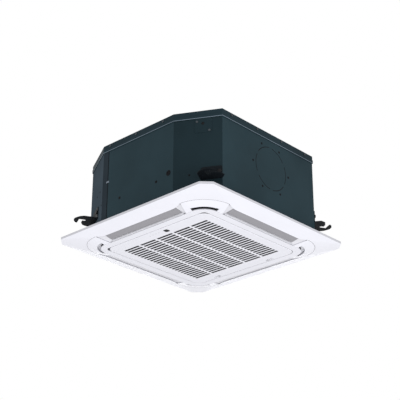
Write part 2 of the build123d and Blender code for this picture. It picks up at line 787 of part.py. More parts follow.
screw_head = 3.0
with BuildPart() as motor_screws:
    with BuildSketch(Plane.XY.offset(case_top - screw_head)):
        with PolarLocations(bush_circle, 4):
            RegularPolygon(2 * screw_radius, 6)
    extrude(amount=screw_head)
    with BuildSketch(Plane.XY.offset(case_top)):
        with PolarLocations(bush_circle, 4):
            Circle(screw_radius)
    extrude(amount=body_top + lid_sheet - sheet - case_top)
motor_screws.part.label = "motor_screws"
export_step(motor_screws.part, "parts/motor_screws.step")

# ---- Coil ------------------------------------------------------------------------------------
coil_inner = coil_outer - coil_thickness
coil_height = case_top - trough_floor
with BuildPart() as coil_fins:
    with BuildSketch(Plane.XY.offset(trough_floor)):
        RectangleRounded(2 * coil_outer, 2 * coil_outer, coil_radius)
        RectangleRounded(2 * coil_inner, 2 * coil_inner, coil_radius - coil_thickness, mode=Mode.SUBTRACT)
        with Locations((body_half + coil_end, body_half + coil_end)):
            Rectangle(body_side, body_side, mode=Mode.SUBTRACT)
    extrude(amount=coil_height)
coil_fins.part.label = "coil_fins"
export_step(coil_fins.part, "parts/coil_fins.step")

coil_middle = (coil_inner + coil_outer) / 2
with BuildPart() as coil_end_plates:
    with BuildSketch(Plane.XY.offset(trough_floor)):
        with Locations((coil_middle, coil_end + end_plate / 2)):
            Rectangle(coil_thickness, end_plate)
        with Locations((coil_end + end_plate / 2, coil_middle)):
            Rectangle(end_plate, coil_thickness)
    extrude(amount=coil_height)
coil_end_plates.part.label = "coil_end_plates"
export_step(coil_end_plates.part, "parts/coil_end_plates.step")

first_bend = trough_floor + 18
plate_face = coil_end + end_plate
across_corner = Plane((0, 0, 0), z_dir=(1, -1, 0))      # swaps X and Y
with BuildPart() as return_bends:
    for bend in range(bend_count):
        level = first_bend + bend * bend_pitch
        with BuildSketch(Plane((coil_middle, plate_face, level), x_dir=(1, 0, 0), z_dir=(0, 1, 0))):
            with Locations((0, bend_radius)):
                Circle(tube_radius)
        revolve(axis=Axis((coil_middle, plate_face, level), (1, 0, 0)), revolution_arc=180)
    mirror(about=across_corner)
return_bends.part.label = "return_bends"
export_step(return_bends.part, "parts/return_bends.step")

# ---- Refrigerant pipes -----------------------------------------------------------------------
header_bottom = first_bend
header_top = first_bend + 4.5 * bend_pitch
stub_levels = [first_bend + (bend + 0.5) * bend_pitch for bend in (0, 1, 3)]
gas_header_radius = 6.0
liquid_header_radius = 4.5
stub_radius = 3.0

gas_rods = [rod_between((*gas_start, header_bottom), (*gas_start, header_top), gas_header_radius),
            rod_between((*gas_start, pipe_height), gas_out, gas_run_radius),
            rod_between(gas_neck, gas_out, gas_pipe_radius)]
gas_rods += [rod_between((gas_start[0], plate_face, level), (*gas_start, level), stub_radius)
             for level in stub_levels]
with BuildPart() as gas_pipe:
    add(gas_rods)
gas_pipe.part.label = "gas_pipe"
export_step(gas_pipe.part, "parts/gas_pipe.step")

liquid_rods = [rod_between((*liquid_start, header_bottom), (*liquid_start, header_top), liquid_header_radius),
               rod_between((*liquid_start, pipe_height), liquid_out, liquid_run_radius),
               rod_between(liquid_neck, liquid_out, liquid_pipe_radius)]
liquid_rods += [rod_between((plate_face, liquid_start[1], level), (*liquid_start, level), stub_radius)
                for level in stub_levels]
with BuildPart() as liquid_pipe:
    add(liquid_rods)
liquid_pipe.part.label = "liquid_pipe"
export_step(liquid_pipe.part, "parts/liquid_pipe.step")

with BuildPart() as flare_nuts:
    for start, radius in ((gas_start, gas_run_radius), (liquid_start, liquid_run_radius)):
        nut_place = out_of_corner(start, pipe_height, spigot_start - nut_gap - nut_length)
        with BuildSketch(Plane(nut_place, x_dir=(0, 0, 1), z_dir=(*cut_normal, 0))):
            RegularPolygon(radius + nut_wall, 6, major_radius=False)
            Circle(radius, mode=Mode.SUBTRACT)
        extrude(amount=nut_length)
flare_nuts.part.label = "flare_nuts"
export_step(flare_nuts.part, "parts/flare_nuts.step")

# ---- Drain pump, float switch and drain pipe -------------------------------------------------
pump_neck = 74.0
cavity_bottom = 56.0
cavity_top = 72.0
pump_foot = 15.0
hose_radius = 9.0
pump_shaft = 2.0
with BuildPart() as pump_case:
    with BuildSketch(Plane(( *pump_place, 0), x_dir=(1, 0, 0), z_dir=(0, -1, 0))):
        with BuildLine():
            Polyline((0, cavity_top + 20), (0, pump_top), (pump_radius, pump_top), (pump_radius, pump_neck),
                     (pump_foot, pump_neck), (pump_foot, sump_floor), (pump_foot - 2, sump_floor),
                     (pump_foot - 2, sump_floor + 4), (pump_foot / 2, sump_floor + 4),
                     (pump_foot / 2, cavity_bottom), (impeller_radius + 1, cavity_bottom),
                     (impeller_radius + 1, cavity_top), (pump_shaft + shaft_play, cavity_top),
                     (pump_shaft + shaft_play, cavity_top + 20), close=True)
        make_face()
    revolve(axis=Axis((*pump_place, 0), (0, 0, 1)))
pump_case.part.label = "pump_case"
export_step(pump_case.part, "parts/pump_case.step")

vane_count = 6
with BuildPart() as pump_impeller:
    with BuildSketch(Plane.XY.offset(cavity_bottom + 2)):
        with Locations(pump_place):
            Circle(pump_shaft + 3)
            with PolarLocations(0, vane_count):
                with Locations((impeller_radius / 2, 0)):
                    Rectangle(impeller_radius, 1.6)
            Circle(impeller_radius, mode=Mode.INTERSECT)
    extrude(amount=cavity_top - cavity_bottom - 6)
    with BuildSketch(Plane.XY.offset(cavity_top - 4)):
        with Locations(pump_place):
            Circle(impeller_radius)
    extrude(amount=2)
    with BuildSketch(Plane.XY.offset(cavity_top - 2)):
        with Locations(pump_place):
            Circle(pump_shaft)
    extrude(amount=20)
pump_impeller.part.label = "pump_impeller"
export_step(pump_impeller.part, "parts/pump_impeller.step")

switch_base = float_base + float_height + float_travel + 24
switch_middle = ((float_place[0] + pump_place[0]) / 2, (float_place[1] + pump_place[1]) / 2)
switch_arm = hypot(pump_place[0] - float_place[0], pump_place[1] - float_place[1])
with BuildPart() as float_switch:
    with BuildSketch(Plane.XY.offset(sump_floor)):
        with Locations(float_place):
            Circle(float_stem_radius)
    extrude(amount=switch_base - sump_floor)
    with BuildSketch(Plane.XY.offset(float_base - 3)):
        with Locations(float_place):
            Circle(2 * float_stem_radius)
    extrude(amount=3)
    with BuildSketch(Plane.XY.offset(switch_base)):
        with Locations(float_place):
            Circle(float_radius)
        with Locations(Location((*switch_middle, 0), 45)):
            Rectangle(switch_arm, float_radius)
        with Locations(pump_place):
            Circle(pump_radius, mode=Mode.SUBTRACT)
    extrude(amount=6)
float_switch.part.label = "float_switch"
export_step(float_switch.part, "parts/float_switch.step")

with BuildPart() as drain_float:
    with BuildSketch(Plane.XY.offset(float_base)):
        with Locations(float_place):
            Circle(float_radius)
            Circle(float_stem_radius + fit, mode=Mode.SUBTRACT)
    extrude(amount=float_height)
    fillet(drain_float.edges().filter_by(GeomType.CIRCLE).group_by(SortBy.RADIUS)[-1], radius=1.5)
drain_float.part.label = "drain_float"
export_step(drain_float.part, "parts/drain_float.step")

drain_bore = drain_radius - drain_wall
drain_rods = [rod_between((*pump_place, pump_top), (*pump_place, drain_height), hose_radius),
              rod_between((*pump_place, drain_height), drain_out, drain_run_radius),
              rod_between(drain_neck, drain_out, drain_radius)]
drain_mouth = rod_between(out_of_corner(pump_place, drain_height, cut_distance - wall_foam), drain_out, drain_bore)
with BuildPart() as drain_pipe:
    add(drain_rods)
    with BuildSketch(Plane.XY.offset(drain_height - drain_run_radius)):
        with Locations(pump_place):
            Circle(drain_run_radius)
    extrude(amount=2 * drain_run_radius)
    add(drain_mouth, mode=Mode.SUBTRACT)
drain_pipe.part.label = "drain_pipe"
export_step(drain_pipe.part, "parts/drain_pipe.step")

plate_half = 52.0
plate_low = 125.0
plate_high = 232.0
plate_sheet = 1.2
pipe_corner = Plane((*cut_middle, 0), x_dir=(*cut_along, 0), z_dir=(*cut_normal, 0))
with BuildPart() as pipe_plate:
    with BuildSketch(pipe_corner):
        with Locations((0, (plate_low + plate_high) / 2)):
            RectangleRounded(2 * plate_half, plate_high - plate_low, 6)
    extrude(amount=plate_sheet)
    for hole in pipe_holes:
        add(hole, mode=Mode.SUBTRACT)
pipe_plate.part.label = "pipe_plate"
export_step(pipe_plate.part, "parts/pipe_plate.step")

# ---- Control box -----------------------------------------------------------------------------
box_half = box_length / 2
board_level = box_bottom + 14
with BuildPart() as control_box:
    add(box_between((-box_half, box_near, box_bottom), (box_half, box_far, mouth_base)))
    add(box_between((-box_half + box_sheet, box_near + box_sheet, box_bottom),
                    (box_half - box_sheet, box_far - box_sheet, mouth_base - box_sheet)), mode=Mode.SUBTRACT)
    with BuildSketch(Plane.XY.offset(board_level)):
        with Locations((0, (box_near + box_far) / 2)):
            with GridLocations(box_length - 20, box_far - box_near - 16, 2, 2):
                Circle(3)
    extrude(until=Until.NEXT)
control_box.part.label = "control_box"
export_step(control_box.part, "parts/control_box.step")

board_sheet = 1.6
with BuildPart() as control_board:
    add(box_between((-box_half + 4, box_near + 4, board_level - board_sheet), (box_half - 4, box_far - 4, board_level)))
    for place, size in (((-70, 0), (40, 30, 9)), ((-20, 8), (22, 22, 10)), ((30, -10), (34, 18, 8)),
                        ((80, 6), (46, 14, 9))):
        middle = (place[0], place[1] + (box_near + box_far) / 2)
        add(box_between((middle[0] - size[0] / 2, middle[1] - size[1] / 2, board_level - board_sheet - size[2]),
                        (middle[0] + size[0] / 2, middle[1] + size[1] / 2, board_level - board_sheet)))
control_board.part.label = "control_board"
export_step(control_board.part, "parts/control_board.step")

with BuildPart() as control_cover:
    add(box_between((-box_half - box_sheet, box_near - box_sheet, box_bottom - box_sheet),
                    (box_half + box_sheet, box_far + box_sheet, box_bottom)))
    add(box_between((-box_half - box_sheet, box_near - box_sheet, box_bottom),
                    (box_half + box_sheet, box_near, box_bottom + 8)))
    add(box_between((-box_half - box_sheet, box_far, box_bottom),
                    (box_half + box_sheet, box_far + box_sheet, box_bottom + 8)))
control_cover.part.label = "control_cover"
export_step(control_cover.part, "parts/control_cover.step")

# ---- Hanger lugs -----------------------------------------------------------------------------
seat = rod_slot / 2
channel = rod_reach + 4.5
lug_corner = Plane((cut_middle[0], -cut_middle[1], lug_base), x_dir=(cut_normal[0], -cut_normal[1], 0))
with BuildPart() as lug:
    with BuildSketch(lug_corner):
        with BuildLine():
            Polyline((0, lug_half_width), (rod_reach + 6, lug_half_width), (rod_reach + 19, 24),
                     (rod_reach + 29, 9))
            ThreePointArc((rod_reach + 29, 9), (rod_reach + 31, -6), (channel + rod_slot + 2, -24))
            Polyline((channel + rod_slot + 2, -24), (channel + rod_slot, -20), (channel + rod_slot, seat),
                     (rod_reach, seat))
            ThreePointArc((rod_reach, seat), (rod_reach - seat, 0), (rod_reach, -seat))
            Polyline((rod_reach, -seat), (channel, -seat), (channel, -20), (rod_reach - 3, -36), (19, -43),
                     (0, -lug_half_width), (0, lug_half_width))
        make_face()
    extrude(amount=lug_sheet)
    with BuildSketch(lug_face):
        with Locations((0, lug_base + lug_flange_height / 2)):
            RectangleRounded(2 * lug_half_width, lug_flange_height, lug_round)
        with Locations((0, lug_base + lug_round)):
            Rectangle(2 * lug_half_width, 2 * lug_round)
    extrude(amount=lug_sheet)
    add(lug_bolt_pair.part, mode=Mode.SUBTRACT)

with BuildPart() as hanger_lugs:
    add(all_corners(lug.part))
hanger_lugs.part.label = "hanger_lugs"
export_step(hanger_lugs.part, "parts/hanger_lugs.step")

with BuildPart() as lug_bolts:
    add(lug_bolt_pairs)
lug_bolts.part.label = "lug_bolts"
export_step(lug_bolts.part, "parts/lug_bolts.step")

# ---- Small bracket on the front left corner --------------------------------------------------
bracket_across = 52.0
bracket_up = 47.0
bracket_plate = 1.5
bracket_shift = 16.5
bracket_top = body_top - lid_skirt - fit
front_left = Plane((-cut_middle[0], -cut_middle[1], 0), x_dir=(cut_normal[1], -cut_normal[0], 0),
                   z_dir=(-cut_normal[0], -cut_normal[1], 0))
rivet_places = ((-2.5, 246.0), (35.5, 214.0))
with BuildPart() as corner_bracket:
    with BuildSketch(front_left):
        with Locations((bracket_shift, bracket_top - bracket_up / 2)):
            RectangleRounded(bracket_across, bracket_up, 4)
        with Locations((bracket_shift - 1, 239)):
            Circle(5, mode=Mode.SUBTRACT)
        with Locations(*rivet_places):
            Circle(2, mode=Mode.SUBTRACT)
    extrude(amount=bracket_plate)
corner_bracket.part.label = "corner_bracket"
export_step(corner_bracket.part, "parts/corner_bracket.step")

with BuildPart() as bracket_rivets:
    with BuildSketch(front_left):
        with Locations(*rivet_places):
            Circle(2)
    extrude(amount=bracket_plate)
    with BuildSketch(front_left.offset(bracket_plate)):
        with Locations(*rivet_places):
            Circle(4)
    extrude(amount=1.6, taper=25)
bracket_rivets.part.label = "bracket_rivets"
export_step(bracket_rivets.part, "parts/bracket_rivets.step")

# ---- Air panel frame -------------------------------------------------------------------------
outer_mass = panel_mass(0, 0, 0)
inner_mass = panel_mass(skin, skin, 0)
tall_mass = panel_mass(skin, skin, collar_top)
shelf_mass = panel_mass(skin + cover_shelf, skin + cover_shelf, 0)
with BuildPart() as panel_skin:
    add(outer_mass)
    add(inner_mass, mode=Mode.SUBTRACT)

cover_arc = hypot(tip_u - corner_centre, tip_v - corner_centre)
shelf_band = arc_band(cover_arc - 6, cover_arc + 6, 7, 83, face, 0)
with BuildPart() as cover_ledge:
    add(inner_mass)
    add(shelf_mass, mode=Mode.SUBTRACT)
    add(shelf_band, mode=Mode.INTERSECT)

with BuildPart() as duct_room:
    add(duct_prism(duct_wall + fit, face, collar_top + 1))
    add(tall_mass, mode=Mode.INTERSECT)
collar_wall = octagon_tube(collar_inset, collar_inset + skin, -collar_depth, collar_top)
collar_foot = box_between((body_half - collar_inset - skin, -duct_half + 8, -crease_depth + 1),
                          (body_half - collar_inset, duct_half - 8, -collar_depth))
deck_block = octagon_block(collar_inset + 1, deck_base, deck_base + deck_thickness)
ledges = four_ways(cover_ledge.part)
covers_room = four_ways(corner_prism(0, face - 1, -crease_depth + 6))
horns = four_ways(outlet_prism(face - 1, 0))
ear_hub = 2.0
ear_rise = 14.0
ear_arm = 6.0
latch_rest = latch_y + latch_travel / 2
latch_reach = (knob_length + latch_travel) / 2 + tongue_reach
keeper_start = latch_rest + latch_reach + keeper_gap
keeper_end = keeper_start + keeper_length
keeper_top = face + grille_rim + 1 + keeper_sheet
keeper_level = face + tongue_level - keeper_gap

with BuildPart() as panel_frame:
    add(panel_skin.part)
    for room in covers_room:
        add(room, mode=Mode.SUBTRACT)
    add(ledges)
    add(collar_wall)
    add(four_ways(collar_foot))
    add(deck_block)
    for room in four_ways(duct_room.part) + horns:
        add(room, mode=Mode.SUBTRACT)
    with BuildSketch(Plane.XY.offset(-ring_depth)):
        RectangleRounded(2 * (well_half + skin), 2 * (well_half + skin), well_radius + skin)
    extrude(amount=ring_depth + deck_base + deck_thickness)
    with BuildSketch(Plane.XY.offset(-ring_depth)):
        RectangleRounded(2 * well_half, 2 * well_half, well_radius)
    extrude(amount=2 * ring_depth, mode=Mode.SUBTRACT)
    with BuildSketch(Plane.XY.offset(-ring_depth)):
        RectangleRounded(2 * well_half, 2 * well_half, swing_radius)
        with Locations((well_radius, 0)):
            Rectangle(2 * well_half, 2 * well_half, mode=Mode.SUBTRACT)
    extrude(amount=swing_height, mode=Mode.SUBTRACT)
    with BuildSketch(Plane.XY.offset(deck_base)):
        for across in (1, -1):
            for along in (1, -1):
                with Locations((across * panel_bolt[0], along * panel_bolt[1])):
                    Circle(panel_bolt_radius + fit)
    extrude(amount=deck_thickness, mode=Mode.SUBTRACT)
    for middle in (-hinge_y, hinge_y):
        for side in (-1, 1):
            ear_start = middle + side * (knuckle_length / 2 + fit + ear_width / 2) + ear_width / 2
            with BuildSketch(Plane.XZ.offset(-ear_start)):
                with Locations((hinge_x, face + hinge_height)):
                    Circle(ear_hub)
                with Locations((hinge_x, face + hinge_height + ear_rise / 2)):
                    Rectangle(2 * ear_hub, ear_rise)
                with Locations(((hinge_x - well_half) / 2, face + hinge_height + ear_rise - ear_arm / 2)):
                    Rectangle(well_half + hinge_x + 2 * ear_hub, ear_arm)
                with Locations((hinge_x, face + hinge_height)):
                    Circle(hinge_pin_radius, mode=Mode.SUBTRACT)
            extrude(amount=ear_width)
    for side in (-1, 1):
        with BuildSketch(Plane.YZ.offset(latch_x - stem_width / 2)):
            with Locations((side * (keeper_start + keeper_end) / 2, keeper_level - keeper_sheet / 2)):
                Rectangle(keeper_length, keeper_sheet)
            with Locations((side * (keeper_end - keeper_sheet / 2), (keeper_level + keeper_top) / 2)):
                Rectangle(keeper_sheet, keeper_top - keeper_level)
        extrude(amount=stem_width)
        with BuildSketch(Plane.YZ.offset(latch_x - stem_width / 2)):
            with Locations((side * (keeper_end - keeper_sheet), keeper_top - keeper_sheet / 2)):
                Rectangle(2 * keeper_sheet, keeper_sheet)
        extrude(amount=well_half + skin / 2 - latch_x + stem_width / 2)
panel_frame.part.label = "panel_frame"
export_step(panel_frame.part, "parts/panel_frame.step")

# ---- Corner covers, with the curved corner slits ---------------------------------------------
with BuildPart() as corner_cover:
    add(panel_skin.part)
    add(corner_prism(cover_gap, face - 1, 0), mode=Mode.INTERSECT)
    add(arc_band(slit_inner - 1, slit_outer, slit_start, slit_end, face - 1, 0), mode=Mode.SUBTRACT)
for corner, turn in zip(("back_right", "back_left", "front_left", "front_right"), sides.values()):
    keep(corner_cover.part.rotate(Axis.Z, turn), f"corner_cover_{corner}")

with BuildPart() as corner_foam:
    add(arc_band(slit_inner - 4, slit_outer + 3, slit_start, slit_end, face, deck_base))
    add(tall_mass, mode=Mode.INTERSECT)
    add(arc_band(slit_inner, slit_outer, slit_start + 2, slit_end - 2, face, deck_base - 5), mode=Mode.SUBTRACT)
with BuildPart() as corner_duct_foam:
    add(four_ways(corner_foam.part))
corner_duct_foam.part.label = "corner_duct_foam"
export_step(corner_duct_foam.part, "parts/corner_duct_foam.step")

# ---- Outlet ducts, whose ends rise in a smooth fairing from the panel's face -----------------
ramp_side = Vector(tip_u - outlet_inner, tip_v - outlet_inner_half, 0).normalized()
wall_plane = Plane((outlet_inner, duct_half, 0), x_dir=(1, 0, 0), z_dir=(0, -1, 0))
edge_plane = Plane((outlet_inner, outlet_inner_half, 0), x_dir=ramp_side, z_dir=ramp_side.cross(Vector(0, 0, 1)))
ramp_depth = 12.0
duct_lip = 7.0               # the fairing's height above the grille face, at the duct's inner side
duct_rise = 8.5              # how much higher it is at the outer side
edge_lip = 3.4               # the same along the outlet's end edge
edge_rise = 12.2
ramp_length = hypot(tip_u - outlet_inner, tip_v - outlet_inner_half)
with BuildPart() as ramp:
    with BuildSketch(wall_plane):
        Polygon((-6, face - ramp_depth), (ramp_length, face - ramp_depth),
                (ramp_length, face + duct_lip + duct_rise), (-6, face + duct_lip - 1), align=None)
    with BuildSketch(edge_plane):
        Polygon((-6, face - ramp_depth), (ramp_length + 5, face - ramp_depth),
                (ramp_length + 5, face + edge_lip + edge_rise), (-6, face + edge_lip - 1), align=None)
    loft(ruled=True)

end_slope = (tip_v - outlet_inner_half) / (tip_u - outlet_inner)
fairing_near = outlet_inner - duct_wall
fairing_far = tip_u + duct_wall
fairing_end = outlet_inner_half + duct_wall * hypot(1, end_slope)
with BuildPart() as fairing:
    with BuildSketch(Plane.XY.offset(face)):
        Polygon((fairing_near, duct_half), (fairing_near, fairing_end - duct_wall * end_slope),
                (fairing_far, fairing_end + (fairing_far - outlet_inner) * end_slope), (fairing_far, duct_half),
                align=None)
        with Locations((pivot_u, (outlet_inner_half + motor_start) / 2)):
            Rectangle(2 * motor_radius, motor_start - outlet_inner_half)
        with Locations((pivot_u, motor_start + motor_length / 2)):
            Rectangle(2 * motor_radius + 1, motor_length, mode=Mode.SUBTRACT)
    extrude(amount=fairing_top)
    mirror(about=Plane.XZ)

with BuildPart() as outlet_duct:
    add(duct_prism(duct_wall, face, collar_top))
    add(fairing.part)
    add(duct_prism(0, face - 1, collar_top + 1), mode=Mode.SUBTRACT)
    add(tall_mass, mode=Mode.INTERSECT)
    add(ramp.part, mode=Mode.SUBTRACT)
    add(ramp.part.mirror(Plane.XZ), mode=Mode.SUBTRACT)
    with BuildSketch(Plane.XZ.offset(louver_half + blind_pin + 1)):
        with Locations((pivot_u, face + pivot_height)):
            Circle(pin_radius + pin_play)
    extrude(amount=-2 * motor_start, mode=Mode.SUBTRACT)
with BuildPart() as outlet_ducts:
    add(four_ways(outlet_duct.part))
outlet_ducts.part.label = "outlet_ducts"
export_step(outlet_ducts.part, "parts/outlet_ducts.step")

# ---- Louvers and their motors ----------------------------------------------------------------
blade_drop = 6.3             # blade's inner edge below the louver axis
blade_bulge = 0.8
inner_edge = (louver_root, face + pivot_height - blade_drop)
outer_edge = (louver_edge, face + pivot_height - 0.3)
blade_middle = ((inner_edge[0] + outer_edge[0]) / 2, (inner_edge[1] + outer_edge[1]) / 2 - blade_bulge)
edge_thickness = 0.7 * louver_thickness
inner_top = (inner_edge[0] + 0.2, inner_edge[1] + edge_thickness)
outer_top = (outer_edge[0] - 0.3, outer_edge[1] + edge_thickness)
end_tab = 3.0
tab_radius = pin_radius + 1.6
pin_gap = 2.0                # left between the driven pin's end and the motor's far face
with BuildPart() as louver:
    with BuildSketch(Plane.XZ.offset(-louver_half)):
        with BuildLine():
            ThreePointArc(inner_edge, blade_middle, outer_edge)
            Line(outer_edge, outer_top)
            ThreePointArc(outer_top, (blade_middle[0], blade_middle[1] + louver_thickness), inner_top)
            Line(inner_top, inner_edge)
        make_face()
    extrude(amount=2 * louver_half)
    for start in (-louver_half, louver_half - end_tab):
        with BuildSketch(Plane.XZ.offset(start)):
            with Locations((pivot_u, face + pivot_height)):
                Circle(tab_radius)
            with Locations((pivot_u + 0.5, face + pivot_height - tab_radius / 2)):
                Rectangle(2 * tab_radius - 1, tab_radius)
        extrude(amount=end_tab)
    with BuildSketch(Plane.XZ.offset(louver_half)):
        with Locations((pivot_u, face + pivot_height)):
            Circle(pin_radius)
    extrude(amount=blind_pin)
    with BuildSketch(Plane.XZ.offset(-louver_half)):
        with Locations((pivot_u, face + pivot_height)):
            Circle(pin_radius)
    extrude(amount=louver_half - motor_start - motor_length + pin_gap)
for side, turn in sides.items():
    keep(louver.part.rotate(Axis.Z, turn), f"louver_{side}")

motor_middle = face + pivot_height + motor_offset
with BuildPart() as louver_motor:
    with BuildSketch(Plane.XZ.offset(-motor_start)):
        with Locations((pivot_u, motor_middle)):
            Circle(motor_radius)
        with Locations((pivot_u, face + pivot_height)):
            Circle(pin_radius + pin_play, mode=Mode.SUBTRACT)
    extrude(amount=-motor_length)
with BuildPart() as louver_motors:
    add(four_ways(louver_motor.part))
louver_motors.part.label = "louver_motors"
export_step(louver_motors.part, "parts/louver_motors.step")

# ---- Foam seals between the panel and the body -----------------------------------------------
seal_lap = 2.0
with BuildPart() as duct_seal:
    add(duct_prism(duct_wall + seal_lap, collar_top, pan_base))
    add(duct_prism(seal_lap / 2, collar_top - 1, pan_base + 1), mode=Mode.SUBTRACT)
    add(octagon_tube(sheet, base_flange + fit, body_base, pan_base), mode=Mode.SUBTRACT)
with BuildPart() as panel_seals:
    add(octagon_tube(collar_inset, collar_inset + skin + 1, collar_top, body_base))
    add(four_ways(duct_seal.part))
panel_seals.part.label = "panel_seals"
export_step(panel_seals.part, "parts/panel_seals.step")

panel_bolt_head = 4.2
with BuildPart() as panel_bolts:
    for across in (1, -1):
        for along in (1, -1):
            with BuildSketch(Plane.XY.offset(deck_base - screw_head)):
                with Locations((across * panel_bolt[0], along * panel_bolt[1])):
                    Circle(panel_bolt_head)
            extrude(amount=screw_head)
            with BuildSketch(Plane.XY.offset(deck_base)):
                with Locations((across * panel_bolt[0], along * panel_bolt[1])):
                    Circle(panel_bolt_radius)
            extrude(amount=pan_base + panel_bolt_grip - deck_base)
panel_bolts.part.label = "panel_bolts"
export_step(panel_bolts.part, "parts/panel_bolts.step")

# ---- Intake grille ---------------------------------------------------------------------------
pocket_length = knob_length + latch_travel + latch_room
pocket_width = knob_width + latch_room
knuckle_room = 3.0
hinge_line = face + hinge_height
plate_top = face + grille_plate
with BuildPart() as intake_grille:
    with BuildSketch(Plane.XY.offset(face)):
        RectangleRounded(2 * grille_half, 2 * grille_half, grille_radius)
    extrude(amount=grille_rim)
    with BuildSketch(Plane.XY.offset(plate_top)):
        inner_half = grille_half - grille_rim_wall
        RectangleRounded(2 * inner_half, 2 * inner_half, grille_radius - grille_rim_wall)
    extrude(amount=grille_rim, mode=Mode.SUBTRACT)
    fillet(intake_grille.faces().sort_by(Axis.Z)[0].outer_wire().edges(), radius=grille_edge_round)
    with BuildSketch(Plane.XY.offset(plate_top)):
        with GridLocations(0, column_pitch, 1, slot_columns - 1):
            Rectangle(slot_pitch * slot_rows, stiffener_width)
    extrude(amount=stiffener_height)
    with BuildSketch(Plane.XY.offset(face)):
        with GridLocations(slot_pitch, column_pitch, slot_rows, slot_columns):
            RectangleRounded(slot_width, slot_length, slot_corner)
        with Locations((display_x, display_y)):
            RectangleRounded(display_side, display_side, display_round)
        with Locations((light_x, light_centre_y)):
            with GridLocations(0, light_pitch, 1, light_count):
                Circle(light_radius)
    extrude(amount=grille_plate, mode=Mode.SUBTRACT)
    with BuildSketch(Plane.XY.offset(face)):
        for side in (-1, 1):
            with Locations((latch_x, side * latch_y)):
                RectangleRounded(pocket_width, pocket_length, knob_round + latch_room / 2)
    extrude(amount=knob_depth, mode=Mode.SUBTRACT)
    with BuildSketch(Plane.XY.offset(face)):
        for side in (-1, 1):
            with Locations((latch_x, side * latch_y)):
                Rectangle(stem_width + latch_room, stem_length + latch_travel + latch_room)
    extrude(amount=grille_plate, mode=Mode.SUBTRACT)
    for middle in (-hinge_y, hinge_y):
        with BuildSketch(Plane.XY.offset(plate_top)):
            with Locations((-grille_half, middle)):
                Rectangle(3 * grille_rim_wall, knuckle_length + 2 * ear_width + 2 * knuckle_room)
        extrude(amount=grille_rim, mode=Mode.SUBTRACT)
        with BuildSketch(Plane.XZ.offset(-middle - knuckle_length / 2)):
            with Locations((hinge_x, hinge_line)):
                Circle(knuckle_radius)
            with Locations((hinge_x, (hinge_line + plate_top) / 2 - 0.5)):
                Rectangle(2 * knuckle_radius, hinge_height - grille_plate + 1)
            with Locations((hinge_x, hinge_line)):
                Circle(hinge_pin_radius + pin_play, mode=Mode.SUBTRACT)
        extrude(amount=knuckle_length)
intake_grille.part.label = "intake_grille"
export_step(intake_grille.part, "parts/intake_grille.step")

with BuildPart() as hinge_pins:
    for middle in (-hinge_y, hinge_y):
        pin_end = middle + knuckle_length / 2 + fit + ear_width
        with BuildSketch(Plane.XZ.offset(-pin_end)):
            with Locations((hinge_x, hinge_line)):
                Circle(hinge_pin_radius)
        extrude(amount=knuckle_length + 2 * fit + 2 * ear_width)
hinge_pins.part.label = "hinge_pins"
export_step(hinge_pins.part, "parts/hinge_pins.step")

# ---- Filter ----------------------------------------------------------------------------------
filter_bottom = plate_top + stiffener_height
filter_half = 173.0
filter_deep = 184.0
filter_bar = 6.0
filter_corner = 8.0
filter_frame_height = 4.0
net_sheet = 0.8
with BuildPart() as air_filter:
    with BuildSketch(Plane.XY.offset(filter_bottom)):
        RectangleRounded(2 * filter_half, 2 * filter_deep, filter_corner)
        RectangleRounded(2 * (filter_half - filter_bar), 2 * (filter_deep - filter_bar), filter_corner / 2,
                         mode=Mode.SUBTRACT)
        with GridLocations(2 * filter_half / 3, 0, 2, 1):
            Rectangle(filter_bar / 2, 2 * filter_deep - filter_bar)
        with GridLocations(0, 2 * filter_deep / 3, 1, 2):
            Rectangle(2 * filter_half - filter_bar, filter_bar / 2)
    extrude(amount=filter_frame_height)
    with BuildSketch(Plane.XY.offset(filter_bottom + filter_frame_height)):
        RectangleRounded(2 * filter_half, 2 * filter_deep, filter_corner)
    extrude(amount=net_sheet)
air_filter.part.label = "air_filter"
export_step(air_filter.part, "parts/air_filter.step")

# ---- Grille latches --------------------------------------------------------------------------
grip_bar = 1.0
grip_pitch = 4.0
slide_base = plate_top + fit
slide_end = latch_rest + (knob_length + latch_travel) / 2
tongue_base = face + tongue_level
with BuildPart() as latch:
    with BuildSketch(Plane.XY.offset(face)):
        with Locations((latch_x, latch_rest)):
            RectangleRounded(knob_width, knob_length, knob_round)
    extrude(amount=knob_depth - fit)
    with BuildSketch(Plane.XY.offset(face)):
        with Locations((latch_x, latch_rest)):
            Rectangle(stem_width, stem_length)
    extrude(amount=slide_base + latch_plate - face)
    with BuildSketch(Plane.XY.offset(slide_base)):
        with Locations((latch_x, latch_rest)):
            Rectangle(knob_width - 1, knob_length + latch_travel)
    extrude(amount=latch_plate)
    with BuildSketch(Plane.XY.offset(slide_base)):
        with Locations((latch_x, slide_end - latch_plate / 2)):
            Rectangle(stem_width, latch_plate)
    extrude(amount=tongue_base + latch_plate - slide_base)
    with BuildSketch(Plane.XY.offset(tongue_base)):
        with Locations((latch_x, slide_end + (tongue_reach - latch_plate) / 2)):
            Rectangle(stem_width, tongue_reach + latch_plate)
    extrude(amount=latch_plate)
    with BuildSketch(Plane.XY.offset(face)):
        with Locations((latch_x, latch_rest)):
            with GridLocations(0, grip_pitch, 1, 3):
                Rectangle(knob_width - 2 * grip_bar, grip_bar)
    extrude(amount=knob_grip, mode=Mode.SUBTRACT)
keep(latch.part, "grille_latch_back")
keep(latch.part.mirror(Plane.XZ), "grille_latch_front")

